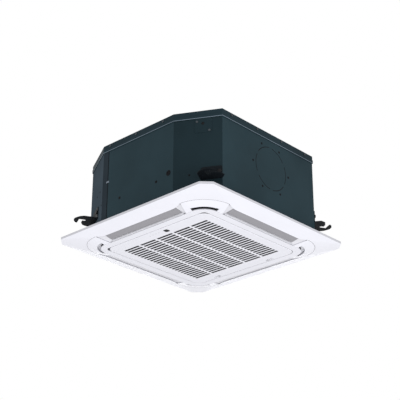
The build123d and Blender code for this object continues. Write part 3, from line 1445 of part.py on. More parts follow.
# ---- Display ---------------------------------------------------------------------------------
board_width = 20.0
board_length = 104.0
board_post = 2.0
post_inset = 3.0
board_base = face + board_height
board_middle = (display_y + light_centre_y) / 2 + 4
with BuildPart() as display_window:
    with BuildSketch(Plane.XY.offset(face)):
        with Locations((display_x, display_y)):
            RectangleRounded(display_side - 0.4, display_side - 0.4, display_round - 0.2)
    extrude(amount=board_height)
    fillet(display_window.faces().sort_by(Axis.Z)[0].outer_wire().edges(), radius=0.6)
display_window.part.label = "display_window"
export_step(display_window.part, "parts/display_window.step")

with BuildPart() as indicator_lights:
    with BuildSketch(Plane.XY.offset(face)):
        with Locations((light_x, light_centre_y)):
            with GridLocations(0, light_pitch, 1, light_count):
                Circle(light_radius - 0.1)
    extrude(amount=board_height)
indicator_lights.part.label = "indicator_lights"
export_step(indicator_lights.part, "parts/indicator_lights.step")

with BuildPart() as display_board:
    with BuildSketch(Plane.XY.offset(board_base)):
        with Locations((display_x - 1, board_middle)):
            RectangleRounded(board_width, board_length, board_post)
    extrude(amount=board_sheet)
    with BuildSketch(Plane.XY.offset(plate_top)):
        with Locations((display_x - 1, board_middle)):
            with GridLocations(board_width - 2 * post_inset, board_length - 2 * post_inset, 2, 2):
                Circle(board_post)
    extrude(amount=board_base - plate_top)
display_board.part.label = "display_board"
export_step(display_board.part, "parts/display_board.step")
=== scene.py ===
"""Looks of a ceiling cassette air conditioner: finishes, fine pieces, lights and the photo's camera."""

import math

import bmesh
import bpy
from mathutils import Matrix, Vector
from mathutils.bvhtree import BVHTree


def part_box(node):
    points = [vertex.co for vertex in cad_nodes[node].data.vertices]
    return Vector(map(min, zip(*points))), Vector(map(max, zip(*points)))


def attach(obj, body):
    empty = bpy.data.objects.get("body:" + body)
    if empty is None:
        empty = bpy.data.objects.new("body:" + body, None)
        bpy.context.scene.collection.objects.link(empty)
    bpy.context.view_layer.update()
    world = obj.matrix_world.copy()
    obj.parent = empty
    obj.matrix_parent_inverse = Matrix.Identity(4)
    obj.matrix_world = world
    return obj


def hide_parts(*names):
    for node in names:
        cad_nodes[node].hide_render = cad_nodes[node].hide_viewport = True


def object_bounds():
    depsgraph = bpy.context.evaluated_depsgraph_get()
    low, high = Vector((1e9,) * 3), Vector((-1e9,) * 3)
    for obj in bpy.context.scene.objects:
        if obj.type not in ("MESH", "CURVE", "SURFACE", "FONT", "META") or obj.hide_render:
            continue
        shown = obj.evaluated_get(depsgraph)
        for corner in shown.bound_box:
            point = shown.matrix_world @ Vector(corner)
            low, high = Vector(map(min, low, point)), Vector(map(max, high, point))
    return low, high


bl_info = {
    "name": "Ceiling Cassette",
    "version": (1, 0, 0),
    "blender": (4, 5, 0),
    "location": "View3D > Sidebar > Cassette",
    "description": "Builds the finishes and fine pieces of a ceiling cassette air conditioner",
    "category": "Object",
}

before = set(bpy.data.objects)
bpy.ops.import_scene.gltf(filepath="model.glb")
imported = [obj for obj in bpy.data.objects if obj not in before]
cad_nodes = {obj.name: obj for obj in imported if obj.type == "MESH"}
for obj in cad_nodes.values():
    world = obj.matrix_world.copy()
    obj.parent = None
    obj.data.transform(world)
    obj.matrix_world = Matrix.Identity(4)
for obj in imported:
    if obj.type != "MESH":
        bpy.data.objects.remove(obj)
cad_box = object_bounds()
MM = 0.001
UP = Vector((0, 0, 1))
AXES = Vector((1, 0, 0)), Vector((0, 1, 0)), UP
LEFT, FRONT = Vector((-1, 0, 0)), Vector((0, -1, 0))
QUARTERS = (1, 1), (-1, 1), (-1, -1), (1, -1)  # signs of the four corners, anticlockwise from above

# Where the fine pieces go, in millimetres from the unit's middle and the ceiling face
KNOCKOUT = 6, 162  # middle of the branch duct knock-out: X and height
KNOCKOUT_RING, KNOCKOUT_HOLE = 83, 2.2  # radii of the circle of its six holes, and of one hole
TIE_HOLES, TIE_HOLE = ((-84, 81), (74, 79)), 3.0  # Y and height on the left side, and radius
CABLE_MARK = -135, 93  # Y and height of the round mark on the left side
STRAP_LEVEL = 150
BRACKET_HOLE = -242.1, -233.1, 239
NEAR_STUD = -261.6, -197.2, 73.6
REAR_STUDS = (((-270.4, 180.9, 136.7), 2.4, 1), ((-251.3, 216.1, 137.1), 2.8, 1),
              ((-281.2, 161.1, 82.1), 2.4, 1), ((-248.9, 220.5, 90.6), 3.6, 1.5))  # place, radius, stretch
SCREWS_ALONG_X, SCREWS_ALONG_Y, SCREW_SHIFT = 116, 117, -7  # pitches, and how far the side rows shift
ARC_CENTRE = 183  # X and Y of the centre of each panel corner's arcs
SLIT_WALL = 66.4  # radius just inside a corner slit's outer wall
COVER_GAP = 97.6, 98.6  # radii of the gap round a corner cover
NOTCH = (281.4, 182), (281.4, 173), (276.5, 179.5)  # where a cover's edge meets an outlet
TUBE_ROWS, FIRST_ROW, ROW_PITCH = 12, 18, 17  # of the coil's tubes
TUBE_SIDE, TUBE_RADIUS = 6.5, 3.5  # how far a tube stands off the coil's middle line, and its radius

# The photo's camera looks here; and each lamp's place, height aimed at, size, setting and part of its power
VIEW_POINT = -0.051887, -0.042941, 0.114025
LAMPS = {"light_front": ((-0.2, -2.6, -1.4), 0.05, 2.6, "light_below", 1.0),
         "light_side": ((-2.8, 0.6, -0.9), 0.1, 2.4, "light_below", 0.7),
         "light_above": ((-1.2, -2.2, 2.4), 0.1, 2.6, "light_above", 1.0),
         "light_back": ((2.4, 2.4, 1.2), 0.1, 2.6, "light_above", 1.0)}


# ---- Settings ----
def colour(name, description, rgb):
    """A colour setting, in linear values."""
    return bpy.props.FloatVectorProperty(name=name, description=description, subtype="COLOR", size=4,
                                         min=0, max=1, default=(*rgb, 1))


def length(name, description, millimetres):
    """A length setting."""
    return bpy.props.FloatProperty(name=name, description=description, unit="LENGTH", subtype="DISTANCE",
                                   min=0, default=millimetres * MM)


def share(name, description, value):
    """A setting from nothing to all."""
    return bpy.props.FloatProperty(name=name, description=description, subtype="FACTOR", min=0, max=1,
                                   default=value)


def angle(name, description, degrees):
    """An angle setting."""
    return bpy.props.FloatProperty(name=name, description=description, unit="ROTATION", subtype="ANGLE",
                                   default=math.radians(degrees))


def power(name, description, watts):
    """A lamp's power setting."""
    return bpy.props.FloatProperty(name=name, description=description, unit="POWER", subtype="POWER", min=0,
                                   default=watts)


class CassetteCasingSettings(bpy.types.PropertyGroup):
    paint: colour("Paint", "Baked paint of the casing sheets", (0.0150, 0.0300, 0.0375))
    corner_paint: colour("Corner paint", "Greyer paint of the separate corner panel", (0.020, 0.027, 0.0335))
    lid_paint: colour("Lid paint", "Darker paint of the lid", (0.0115, 0.0225, 0.0290))
    lug_paint: colour("Lug paint", "Black paint of the hanging lugs", (0.006, 0.008, 0.010))
    screw: colour("Screws", "Blackened screws and bolts", (0.075, 0.085, 0.095))
    # Colour of the painted highlight line along the lid's folded edge
    hem: colour("Hem line", "Worn paint along the lid's folded edge", (0.125, 0.160, 0.195))
    # Also the colour of the painted shade in the knock-out's cut arcs and in the screws' cross recesses
    plug: colour("Plugs", "Black rubber plugs and gasket", (0.003, 0.003, 0.004))
    rivet: colour("Rivets", "Dull blind rivets of the bracket", (0.06, 0.07, 0.08))
    strap: colour("Strap", "Blue-grey strap across the open seam", (0.16, 0.19, 0.23))
    paint_roughness: share("Paint roughness", "How dull the paint is", 0.45)
    edge: length("Folded edge", "Rounding along the folds of the sheets", 0.5)
    cut_x: length("Corner cut along X", "How far each corner cut of the casing runs along X", 71)
    cut_y: length("Corner cut along Y", "And along Y", 131)
    seam_y: length("Seam", "Middle of the open seam on the left side, from the centre", 130.7)


class CassettePanelSettings(bpy.types.PropertyGroup):
    white: colour("White", "Moulded white of the air panel and grille", (0.83, 0.832, 0.90))
    duct: colour("Duct ends", "Slightly greyer white of the outlet ducts", (0.74, 0.74, 0.79))
    # Painted shade and light: one louver moulding, a shaded mid grey on the left and front, a lit pale grey
    # on the right and back
    louver: colour("Louvers", "Mid grey of the louvers", (0.30, 0.295, 0.32))
    louver_painted_light: colour("Far louvers", "Paler louvers of the right and back outlets", (0.72, 0.72, 0.77))
    foam: colour("Foam", "Black lining behind the corner slits", (0.008, 0.008, 0.009))
    gap: colour("Gaps", "Shade seen in the narrow gaps of the panel", (0.16, 0.16, 0.17))
    window: colour("Window", "Smoked display window", (0.004, 0.004, 0.005))
    lamp: colour("Lamps", "Frosted indicator lenses", (0.12, 0.12, 0.13))
    net: colour("Filter net", "Dark net of the air filter", (0.020, 0.021, 0.023))
    gloss: share("Gloss", "Roughness of the white moulding", 0.33)
    net_pitch: length("Net pitch", "Distance between the strands of the filter net", 2.4)
    net_strand: length("Net strand", "Thickness of one strand", 0.45)


class CassetteInnerSettings(bpy.types.PropertyGroup):
    zinc: colour("Zinc", "Galvanised steel inside", (0.46, 0.47, 0.48))
    aluminium: colour("Aluminium", "Fins and motor case", (0.62, 0.63, 0.64))
    copper: colour("Copper", "Refrigerant tubes", (0.62, 0.26, 0.13))
    brass: colour("Brass", "Flare nuts", (0.60, 0.42, 0.14))
    beads: colour("Bead foam", "Expanded bead foam of the drain pan", (0.74, 0.75, 0.73))
    wool: colour("Insulation", "Grey wall insulation", (0.10, 0.105, 0.11))
    fan: colour("Fan", "Moulded fan and impeller", (0.030, 0.032, 0.036))
    black: colour("Black plastic", "Black moulded housings", (0.014, 0.014, 0.015))
    rubber: colour("Rubber", "Bushes", (0.012, 0.012, 0.012))
    board: colour("Board", "Solder mask of the circuit boards", (0.012, 0.09, 0.035))
    drain: colour("Drain pipe", "Pale pipe of the drain", (0.66, 0.66, 0.67))
    fin_pitch: length("Fin pitch", "Distance between the coil's fins", 3.0)
    fin_sheet: length("Fin thickness", "Thickness of one fin", 0.35)


class CassetteStageSettings(bpy.types.PropertyGroup):
    floor: colour("Floor", "Plain pale floor", (0.80, 0.80, 0.80))
    floor_drop: length("Floor below", "Floor below the ceiling face", 4200)
    camera_turn: angle("Camera turn", "Azimuth of the camera", -46.674)
    camera_rise: angle("Camera rise", "Elevation of the camera", -24.848)
    camera_roll: angle("Camera roll", "Tilt of the frame", 0.24)
    camera_reach: length("Camera distance", "From the camera to the point it looks at", 3499.9)
    lens: bpy.props.FloatProperty(name="Lens", description="Focal length", unit="CAMERA", default=100.67)
    light_below: power("Light below", "Power of the soft light below the unit", 54)
    light_above: power("Light above", "Power of the soft light above the unit", 26)
    surround: share("Surround", "Brightness of the room around the unit", 0.72)


# ---- Shader groups ----
def new_group(name, *inputs):
    """A shader node group on a vector and a colour, which gives a colour, a roughness and a height."""
    group = bpy.data.node_groups.new(name, "ShaderNodeTree")
    for label, kind, value in (("Vector", "Vector", None), ("Colour", "Color", (0.5, 0.5, 0.5, 1)), *inputs):
        socket = group.interface.new_socket(name=label, in_out="INPUT", socket_type="NodeSocket" + kind)
        if value is not None:
            socket.default_value = value
    for label, kind in (("Colour", "Color"), ("Roughness", "Float"), ("Height", "Float")):
        group.interface.new_socket(name=label, in_out="OUTPUT", socket_type="NodeSocket" + kind)
    return group, group.nodes.new("NodeGroupInput").outputs


def end_group(group, colour, roughness, height):
    """Link what a shader group gives."""
    end = add_node(group, "NodeGroupOutput")
    for socket, value in (("Colour", colour), ("Roughness", roughness), ("Height", height)):
        group.links.new(value, end.inputs[socket])
    return group


def add_node(tree, kind, **settings):
    """A node with its properties set."""
    node = tree.nodes.new(kind)
    for key, value in settings.items():
        setattr(node, key, value)
    return node


def feed(tree, value, socket):
    """Set a socket to a plain number, or link it."""
    if isinstance(value, (int, float)):
        socket.default_value = value
    else:
        tree.links.new(value, socket)


def noise_at(tree, vector, scale, detail, rough=0.5):
    """Noise texture on a vector, with a linked or plain scale."""
    noise = add_node(tree, "ShaderNodeTexNoise")
    for socket, value in (("Vector", vector), ("Scale", scale), ("Detail", detail), ("Roughness", rough)):
        feed(tree, value, noise.inputs[socket])
    return noise.outputs["Fac"]


def number(tree, operation, first, second):
    """A Math node on two sockets or plain numbers."""
    node = add_node(tree, "ShaderNodeMath", operation=operation)
    for socket, value in zip(node.inputs, (first, second)):
        feed(tree, value, socket)
    return node.outputs[0]


def blend(tree, factor, first, last, low=0.0, high=1.0):
    """The first value where the factor is low, the last where it is high."""
    ramp = add_node(tree, "ShaderNodeMapRange")
    for socket, value in (("Value", factor), ("From Min", low), ("From Max", high), ("To Min", first),
                          ("To Max", last)):
        feed(tree, value, ramp.inputs[socket])
    return ramp.outputs["Result"]


def scaled(tree, base, tone):
    """A colour made darker or lighter by a tone."""
    shade = add_node(tree, "ShaderNodeVectorMath", operation="SCALE")
    tree.links.new(base, shade.inputs[0])
    tree.links.new(tone, shade.inputs["Scale"])
    return shade.outputs["Vector"]


def tinted(tree, base, noise, dark, light):
    """A colour that wanders between two tones with a noise."""
    return scaled(tree, base, blend(tree, noise, dark, light, 0.3, 0.7))


def mixed(tree, factor, first, last):
    """A mix of two colours."""
    mix = add_node(tree, "ShaderNodeMix", data_type="RGBA")
    for socket, value in (("Factor", factor), ("A", first), ("B", last)):
        tree.links.new(value, mix.inputs[socket])
    return mix.outputs["Result"]


def paint_group():
    """Baked paint: orange peel, cloudy tone, handling dust, and painted light that makes faces looking one
    way darker or lighter.
    """
    group, given = new_group(
        "Baked Paint", ("Normal", "Vector", None), ("Corner Normal", "Vector", (-0.879, -0.4765, 0.0)),
        ("Corner Tone", "Float", 1.0), ("Dust", "Color", (0.2, 0.22, 0.22, 1)), ("Dust Amount", "Float", 0.1),
        ("Peel Scale", "Float", 900.0), ("Roughness", "Float", 0.4))
    vector = given["Vector"]
    cloud = noise_at(group, vector, 6.0, 4)
    facing = add_node(group, "ShaderNodeVectorMath", operation="DOT_PRODUCT")
    group.links.new(given["Normal"], facing.inputs[0])
    group.links.new(given["Corner Normal"], facing.inputs[1])
    # Painted light: a tone for the faces that look along the given normal, sharpened by the power 24
    corner = number(group, "POWER", number(group, "MAXIMUM", facing.outputs["Value"], 0.0), 24.0)
    painted_light_colour = scaled(group, given["Colour"], blend(group, corner, 1.0, given["Corner Tone"]))
    toned = tinted(group, painted_light_colour, cloud, 0.86, 1.14)
    speck = noise_at(group, vector, 160.0, 6, 0.72)
    patch = noise_at(group, vector, 14.0, 3)
    mask = number(group, "MULTIPLY", number(group, "GREATER_THAN", speck, 0.66), patch)
    mask = number(group, "MULTIPLY", mask, given["Dust Amount"])
    dulled = number(group, "MULTIPLY", number(group, "SUBTRACT", patch, 0.5), 0.22)
    return end_group(group, mixed(group, mask, toned, given["Dust"]),
                     number(group, "ADD", given["Roughness"], dulled),
                     noise_at(group, vector, given["Peel Scale"], 2))


def moulding_group():
    """Moulded plastic: spark-eroded grain, faint flow tone, uneven gloss, and painted shade that darkens
    upright sides.
    """
    group, given = new_group(
        "Moulded Plastic", ("Normal", "Vector", None), ("Side Tone", "Float", 1.0), ("Tone", "Float", 0.03),
        ("Grain Scale", "Float", 1400.0), ("Roughness", "Float", 0.4))
    vector = given["Vector"]
    flow = noise_at(group, vector, 9.0, 4)
    dark = number(group, "SUBTRACT", 1.0, given["Tone"])
    normal = add_node(group, "ShaderNodeSeparateXYZ")
    group.links.new(given["Normal"], normal.inputs[0])
    # Painted shade: faces that stand upright are scaled towards the side tone
    level = number(group, "MULTIPLY", number(group, "ABSOLUTE", normal.outputs["Z"], 0.0), 1.8)
    side_shaded = scaled(group, given["Colour"], blend(group, level, given["Side Tone"], 1.0))
    smear = noise_at(group, vector, 30.0, 5, 0.6)
    uneven = number(group, "MULTIPLY", number(group, "SUBTRACT", smear, 0.5), 0.16)
    return end_group(group, tinted(group, side_shaded, flow, dark, 1.0),
                     number(group, "ADD", given["Roughness"], uneven),
                     noise_at(group, vector, given["Grain Scale"], 3, 0.6))


def metal_group():
    """Bare metal: drawn streaks along one way, with mottled tarnish."""
    group, given = new_group(
        "Drawn Metal", ("Stretch", "Vector", (1.0, 1.0, 0.04)), ("Tarnish", "Color", (0.3, 0.3, 0.3, 1)),
        ("Tarnish Amount", "Float", 0.4), ("Roughness", "Float", 0.3))
    stretch = add_node(group, "ShaderNodeVectorMath", operation="MULTIPLY")
    group.links.new(given["Vector"], stretch.inputs[0])
    group.links.new(given["Stretch"], stretch.inputs[1])
    streak = noise_at(group, stretch.outputs["Vector"], 900.0, 4, 0.6)
    mottle = noise_at(group, given["Vector"], 45.0, 6, 0.65)
    mask = number(group, "MULTIPLY", number(group, "POWER", mottle, 2.0), given["Tarnish Amount"])
    rough = number(group, "ADD", given["Roughness"], number(group, "MULTIPLY", mottle, 0.25))
    return end_group(group, mixed(group, mask, given["Colour"], given["Tarnish"]),
                     number(group, "ADD", rough, number(group, "MULTIPLY", streak, 0.1)), streak)


def foam_group():
    """Foam: packed beads or cells with darker joints between them."""
    group, given = new_group("Cell Foam", ("Cell Scale", "Float", 300.0), ("Joint", "Float", 0.2))
    cells = add_node(group, "ShaderNodeTexVoronoi", feature="DISTANCE_TO_EDGE")
    group.links.new(given["Vector"], cells.inputs["Vector"])
    group.links.new(given["Cell Scale"], cells.inputs["Scale"])
    edge = number(group, "MINIMUM", number(group, "MULTIPLY", cells.outputs["Distance"], 6.0), 1.0)
    dark = number(group, "SUBTRACT", 1.0, given["Joint"])
    toned = scaled(group, given["Colour"], blend(group, edge, dark, 1.0))
    cloud = noise_at(group, given["Vector"], 20.0, 4)
    return end_group(group, tinted(group, toned, cloud, 0.9, 1.05),
                     number(group, "ADD", number(group, "MULTIPLY", cloud, 0.1), 0.8), edge)


GROUP_MAKERS = {"Baked Paint": paint_group, "Moulded Plastic": moulding_group, "Drawn Metal": metal_group,
                "Cell Foam": foam_group}


def shader_group(name):
    """The named shader group, made the first time it is asked for."""
    return bpy.data.node_groups.get(name) or GROUP_MAKERS[name]()


finishes = {}  # materials made so far


def finish_material(name, group, values, relief, relief_depth, **surface):
    """A material whose colour, roughness and relief come from one shader group, made once."""
    if name in finishes:
        return finishes[name]
    material = bpy.data.materials.new(name)
    finishes[name] = material
    material.use_nodes = True
    tree = material.node_tree
    shader = tree.nodes["Principled BSDF"]
    for socket, value in surface.items():
        shader.inputs[socket.replace("_", " ")].default_value = value
    effect = add_node(tree, "ShaderNodeGroup", node_tree=shader_group(group))
    place = add_node(tree, "ShaderNodeTexCoord")
    tree.links.new(place.outputs["Object"], effect.inputs["Vector"])
    if "Normal" in effect.inputs:
        tree.links.new(place.outputs["Normal"], effect.inputs["Normal"])
    for socket, value in values.items():
        effect.inputs[socket].default_value = value
    bump = add_node(tree, "ShaderNodeBump")
    bump.inputs["Strength"].default_value = relief
    bump.inputs["Distance"].default_value = relief_depth * MM
    tree.links.new(effect.outputs["Colour"], shader.inputs["Base Color"])
    tree.links.new(effect.outputs["Roughness"], shader.inputs["Roughness"])
    tree.links.new(effect.outputs["Height"], bump.inputs["Height"])
    tree.links.new(bump.outputs["Normal"], shader.inputs["Normal"])
    return material


def painted(name, tone, roughness, dust, painted_light_tone=1.0, corner=(-0.879, -0.4765, 0), sheen=0.04):
    """Baked paint on sheet metal; painted light makes the faces that look one way darker or lighter."""
    values = {"Colour": tone, "Roughness": roughness, "Dust Amount": dust, "Corner Tone": painted_light_tone,
              "Corner Normal": corner}
    return finish_material(name, "Baked Paint", values, 0.25, 0.05, Specular_IOR_Level=sheen)


def moulded(name, tone, roughness, grain=0.12, shift=0.03, side=1.0, sheen=0.5):
    """Moulded plastic with its grain; side darkens its upright sides as painted shade."""
    values = {"Colour": tone, "Roughness": roughness, "Tone": shift, "Side Tone": side}
    return finish_material(name, "Moulded Plastic", values, grain, 0.04, Specular_IOR_Level=sheen)


def metal(name, tone, tarnish, amount, roughness):
    """Bare or plated metal."""
    values = {"Colour": tone, "Tarnish": (*tarnish, 1), "Tarnish Amount": amount, "Roughness": roughness}
    return finish_material(name, "Drawn Metal", values, 0.15, 0.02, Metallic=1.0)


def galvanised(inner):
    """Zinc on steel, the same wherever it shows."""
    return metal("zinc", inner.zinc, (0.25, 0.26, 0.27), 0.6, 0.25)


def copper(inner):
    """Copper of the coil and its pipes."""
    return metal("copper", inner.copper, (0.22, 0.10, 0.06), 0.7, 0.22)


def black_plastic(inner):
    """Black moulded housings."""
    return moulded("black_plastic", inner.black, 0.45)


def circuit_board(inner):
    """Board under its solder mask."""
    return moulded("circuit_board", inner.board, 0.35, 0.3, 0.2)


def foam(name, tone, scale, joint, relief):
    """Bead or cell foam."""
    return finish_material(name, "Cell Foam", {"Colour": tone, "Cell Scale": scale, "Joint": joint},
                           relief, 0.4, Specular_IOR_Level=0.2)


# ---- Mesh helpers ----
def give(names, material):
    """Put one material on CAD nodes or new pieces."""
    for name in names:
        target = cad_nodes.get(name) or bpy.data.objects[name]
        target.data.materials.clear()
        target.data.materials.append(material)


def soften(names, width):
    """Round the hard edges of CAD nodes with modifiers, which leave their meshes as they are."""
    for name in names:
        target = cad_nodes[name]
        weld = target.modifiers.new("Join split corners", "WELD")
        weld.merge_threshold = 0.000002
        merge = target.modifiers.new("Merge flat faces", "DECIMATE")
        merge.decimate_type = "DISSOLVE"
        merge.angle_limit = math.radians(0.4)
        bevel = target.modifiers.new("Rounded edges", "BEVEL")
        bevel.width = width
        bevel.segments = 2
        bevel.limit_method = "ANGLE"
        bevel.angle_limit = math.radians(28)
        bevel.harden_normals = True
        bevel.miter_outer = "MITER_ARC"


def piece(name, shape, body, material, smooth=None):
    """A new mesh object from a bmesh: it rides on a body, and smooth is the angle that stays sharp."""
    mesh = bpy.data.meshes.new(name)
    bmesh.ops.recalc_face_normals(shape, faces=shape.faces)
    shape.to_mesh(mesh)
    shape.free()
    mesh.materials.append(material)
    if smooth:
        mesh.polygons.foreach_set("use_smooth", [True] * len(mesh.polygons))
        mesh.set_sharp_from_angle(angle=math.radians(smooth))
    made = bpy.data.objects.new(name, mesh)
    bpy.context.scene.collection.objects.link(made)
    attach(made, body)
    return made


def metres(profile):
    """A profile given in millimetres, in metres."""
    return [(first * MM, second * MM) for first, second in profile]


def bar(shape, middle, along, across, upward, sizes):
    """Straight bar about a middle point, with its three half sizes along three directions."""
    corners = []
    for i in (-1, 1):
        for j in (-1, 1):
            for k in (-1, 1):
                corners.append(shape.verts.new(middle + along * (i * sizes[0]) + across * (j * sizes[1])
                                               + upward * (k * sizes[2])))
    for face in ((0, 1, 3, 2), (4, 6, 7, 5), (0, 4, 5, 1), (2, 3, 7, 6), (0, 2, 6, 4), (1, 5, 7, 3)):
        shape.faces.new([corners[i] for i in face])


def turned(shape, middle, axis, profile, sides=20, stretch=1.0):
    """Turned piece: profile gives radius and height along the axis, and stretch makes it oval upwards."""
    aside = UP.cross(axis).normalized()
    upward = axis.cross(aside)
    rings = []
    for radius, height in profile:
        if radius == 0:
            rings.append([shape.verts.new(middle + axis * height)])
            continue
        ring = []
        for side in range(sides):
            turn = math.tau * side / sides
            reach = aside * (radius * math.cos(turn)) + upward * (radius * stretch * math.sin(turn))
            ring.append(shape.verts.new(middle + axis * height + reach))
        rings.append(ring)
    for low, high in zip(rings, rings[1:]):
        for side in range(sides):
            after = (side + 1) % sides
            around = [ring[at % len(ring)] for ring, at in
                      ((low, side), (low, after), (high, after), (high, side))]
            shape.faces.new(list(dict.fromkeys(around)))


def rail(shape, outline, profile, closed=True):
    """Moulding that follows an outline seen from above: profile gives how far out and how high."""
    rows = []
    count = len(outline)
    for index, point in enumerate(outline):
        before = point - outline[index - 1] if closed or index else outline[1] - point
        after = outline[(index + 1) % count] - point if closed or index < count - 1 else before
        first = Vector((before.y, -before.x)).normalized()
        second = Vector((after.y, -after.x)).normalized()
        outward = (first + second) / (1 + first.dot(second))
        rows.append([shape.verts.new((*(point + outward * out), high)) for out, high in profile])
    joined(shape, rows, closed)


def joined(shape, rows, closed):
    """Skin over equal rows of vertices: a loop, or a run with both ends closed."""
    count = len(rows)
    for index in range(count if closed else count - 1):
        low, high = rows[index], rows[(index + 1) % count]
        for step in range(len(low)):
            after = (step + 1) % len(low)
            shape.faces.new((low[step], low[after], high[after], high[step]))
    if not closed:
        shape.faces.new(rows[0])
        shape.faces.new(rows[-1])


def arc(centre, radius, start, end, steps):
    """Points along an arc seen from above, between two angles in degrees."""
    turns = [math.radians(start + (end - start) * step / steps) for step in range(steps + 1)]
    return [Vector(centre) + Vector((math.cos(turn), math.sin(turn))) * radius for turn in turns]


def underside(names):
    """Search tree over the CAD meshes of some nodes."""
    corners, faces = [], []
    for name in names:
        mesh = cad_nodes[name].data
        first = len(corners)
        corners += [vertex.co.copy() for vertex in mesh.vertices]
        faces += [[first + index for index in face.vertices] for face in mesh.polygons]
    return BVHTree.FromPolygons(corners, faces)


def landing(tree, place, shift):
    """Where a line straight up from below first meets the unit, moved up by a shift."""
    hit = tree.ray_cast(Vector((*place, cad_box[0][2] - MM)), UP)[0]
    return hit + UP * shift


def rounded_square(half_x, half_y, radius, steps=8):
    """Outline with rounded corners, anticlockwise from the +X side."""
    points = []
    for quarter, (x, y) in enumerate(QUARTERS):
        middle = Vector((x * (half_x - radius), y * (half_y - radius)))
        for step in range(steps + 1):
            turn = math.radians(90) * (quarter + step / steps)
            points.append(middle + Vector((math.cos(turn), math.sin(turn))) * radius)
    return points


def half_casing():
    """From the middle to a flat side of the casing."""
    return -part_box("casing_front")[0].x


def slant(casing, side):
    """Which way the casing's left corner looks, at the back (1) or the front (-1)."""
    return Vector((-casing.cut_y, side * casing.cut_x, 0)).normalized()


def casing_outline(casing):
    """Corners of the casing seen from above, anticlockwise."""
    half = half_casing()
    near_x, near_y = half - casing.cut_x, half - casing.cut_y
    corners = ((half, -near_y), (half, near_y), (near_x, half), (-near_x, half),
               (-half, near_y), (-half, -near_y), (-near_x, -half), (near_x, -half))
    return [Vector(corner) for corner in corners]


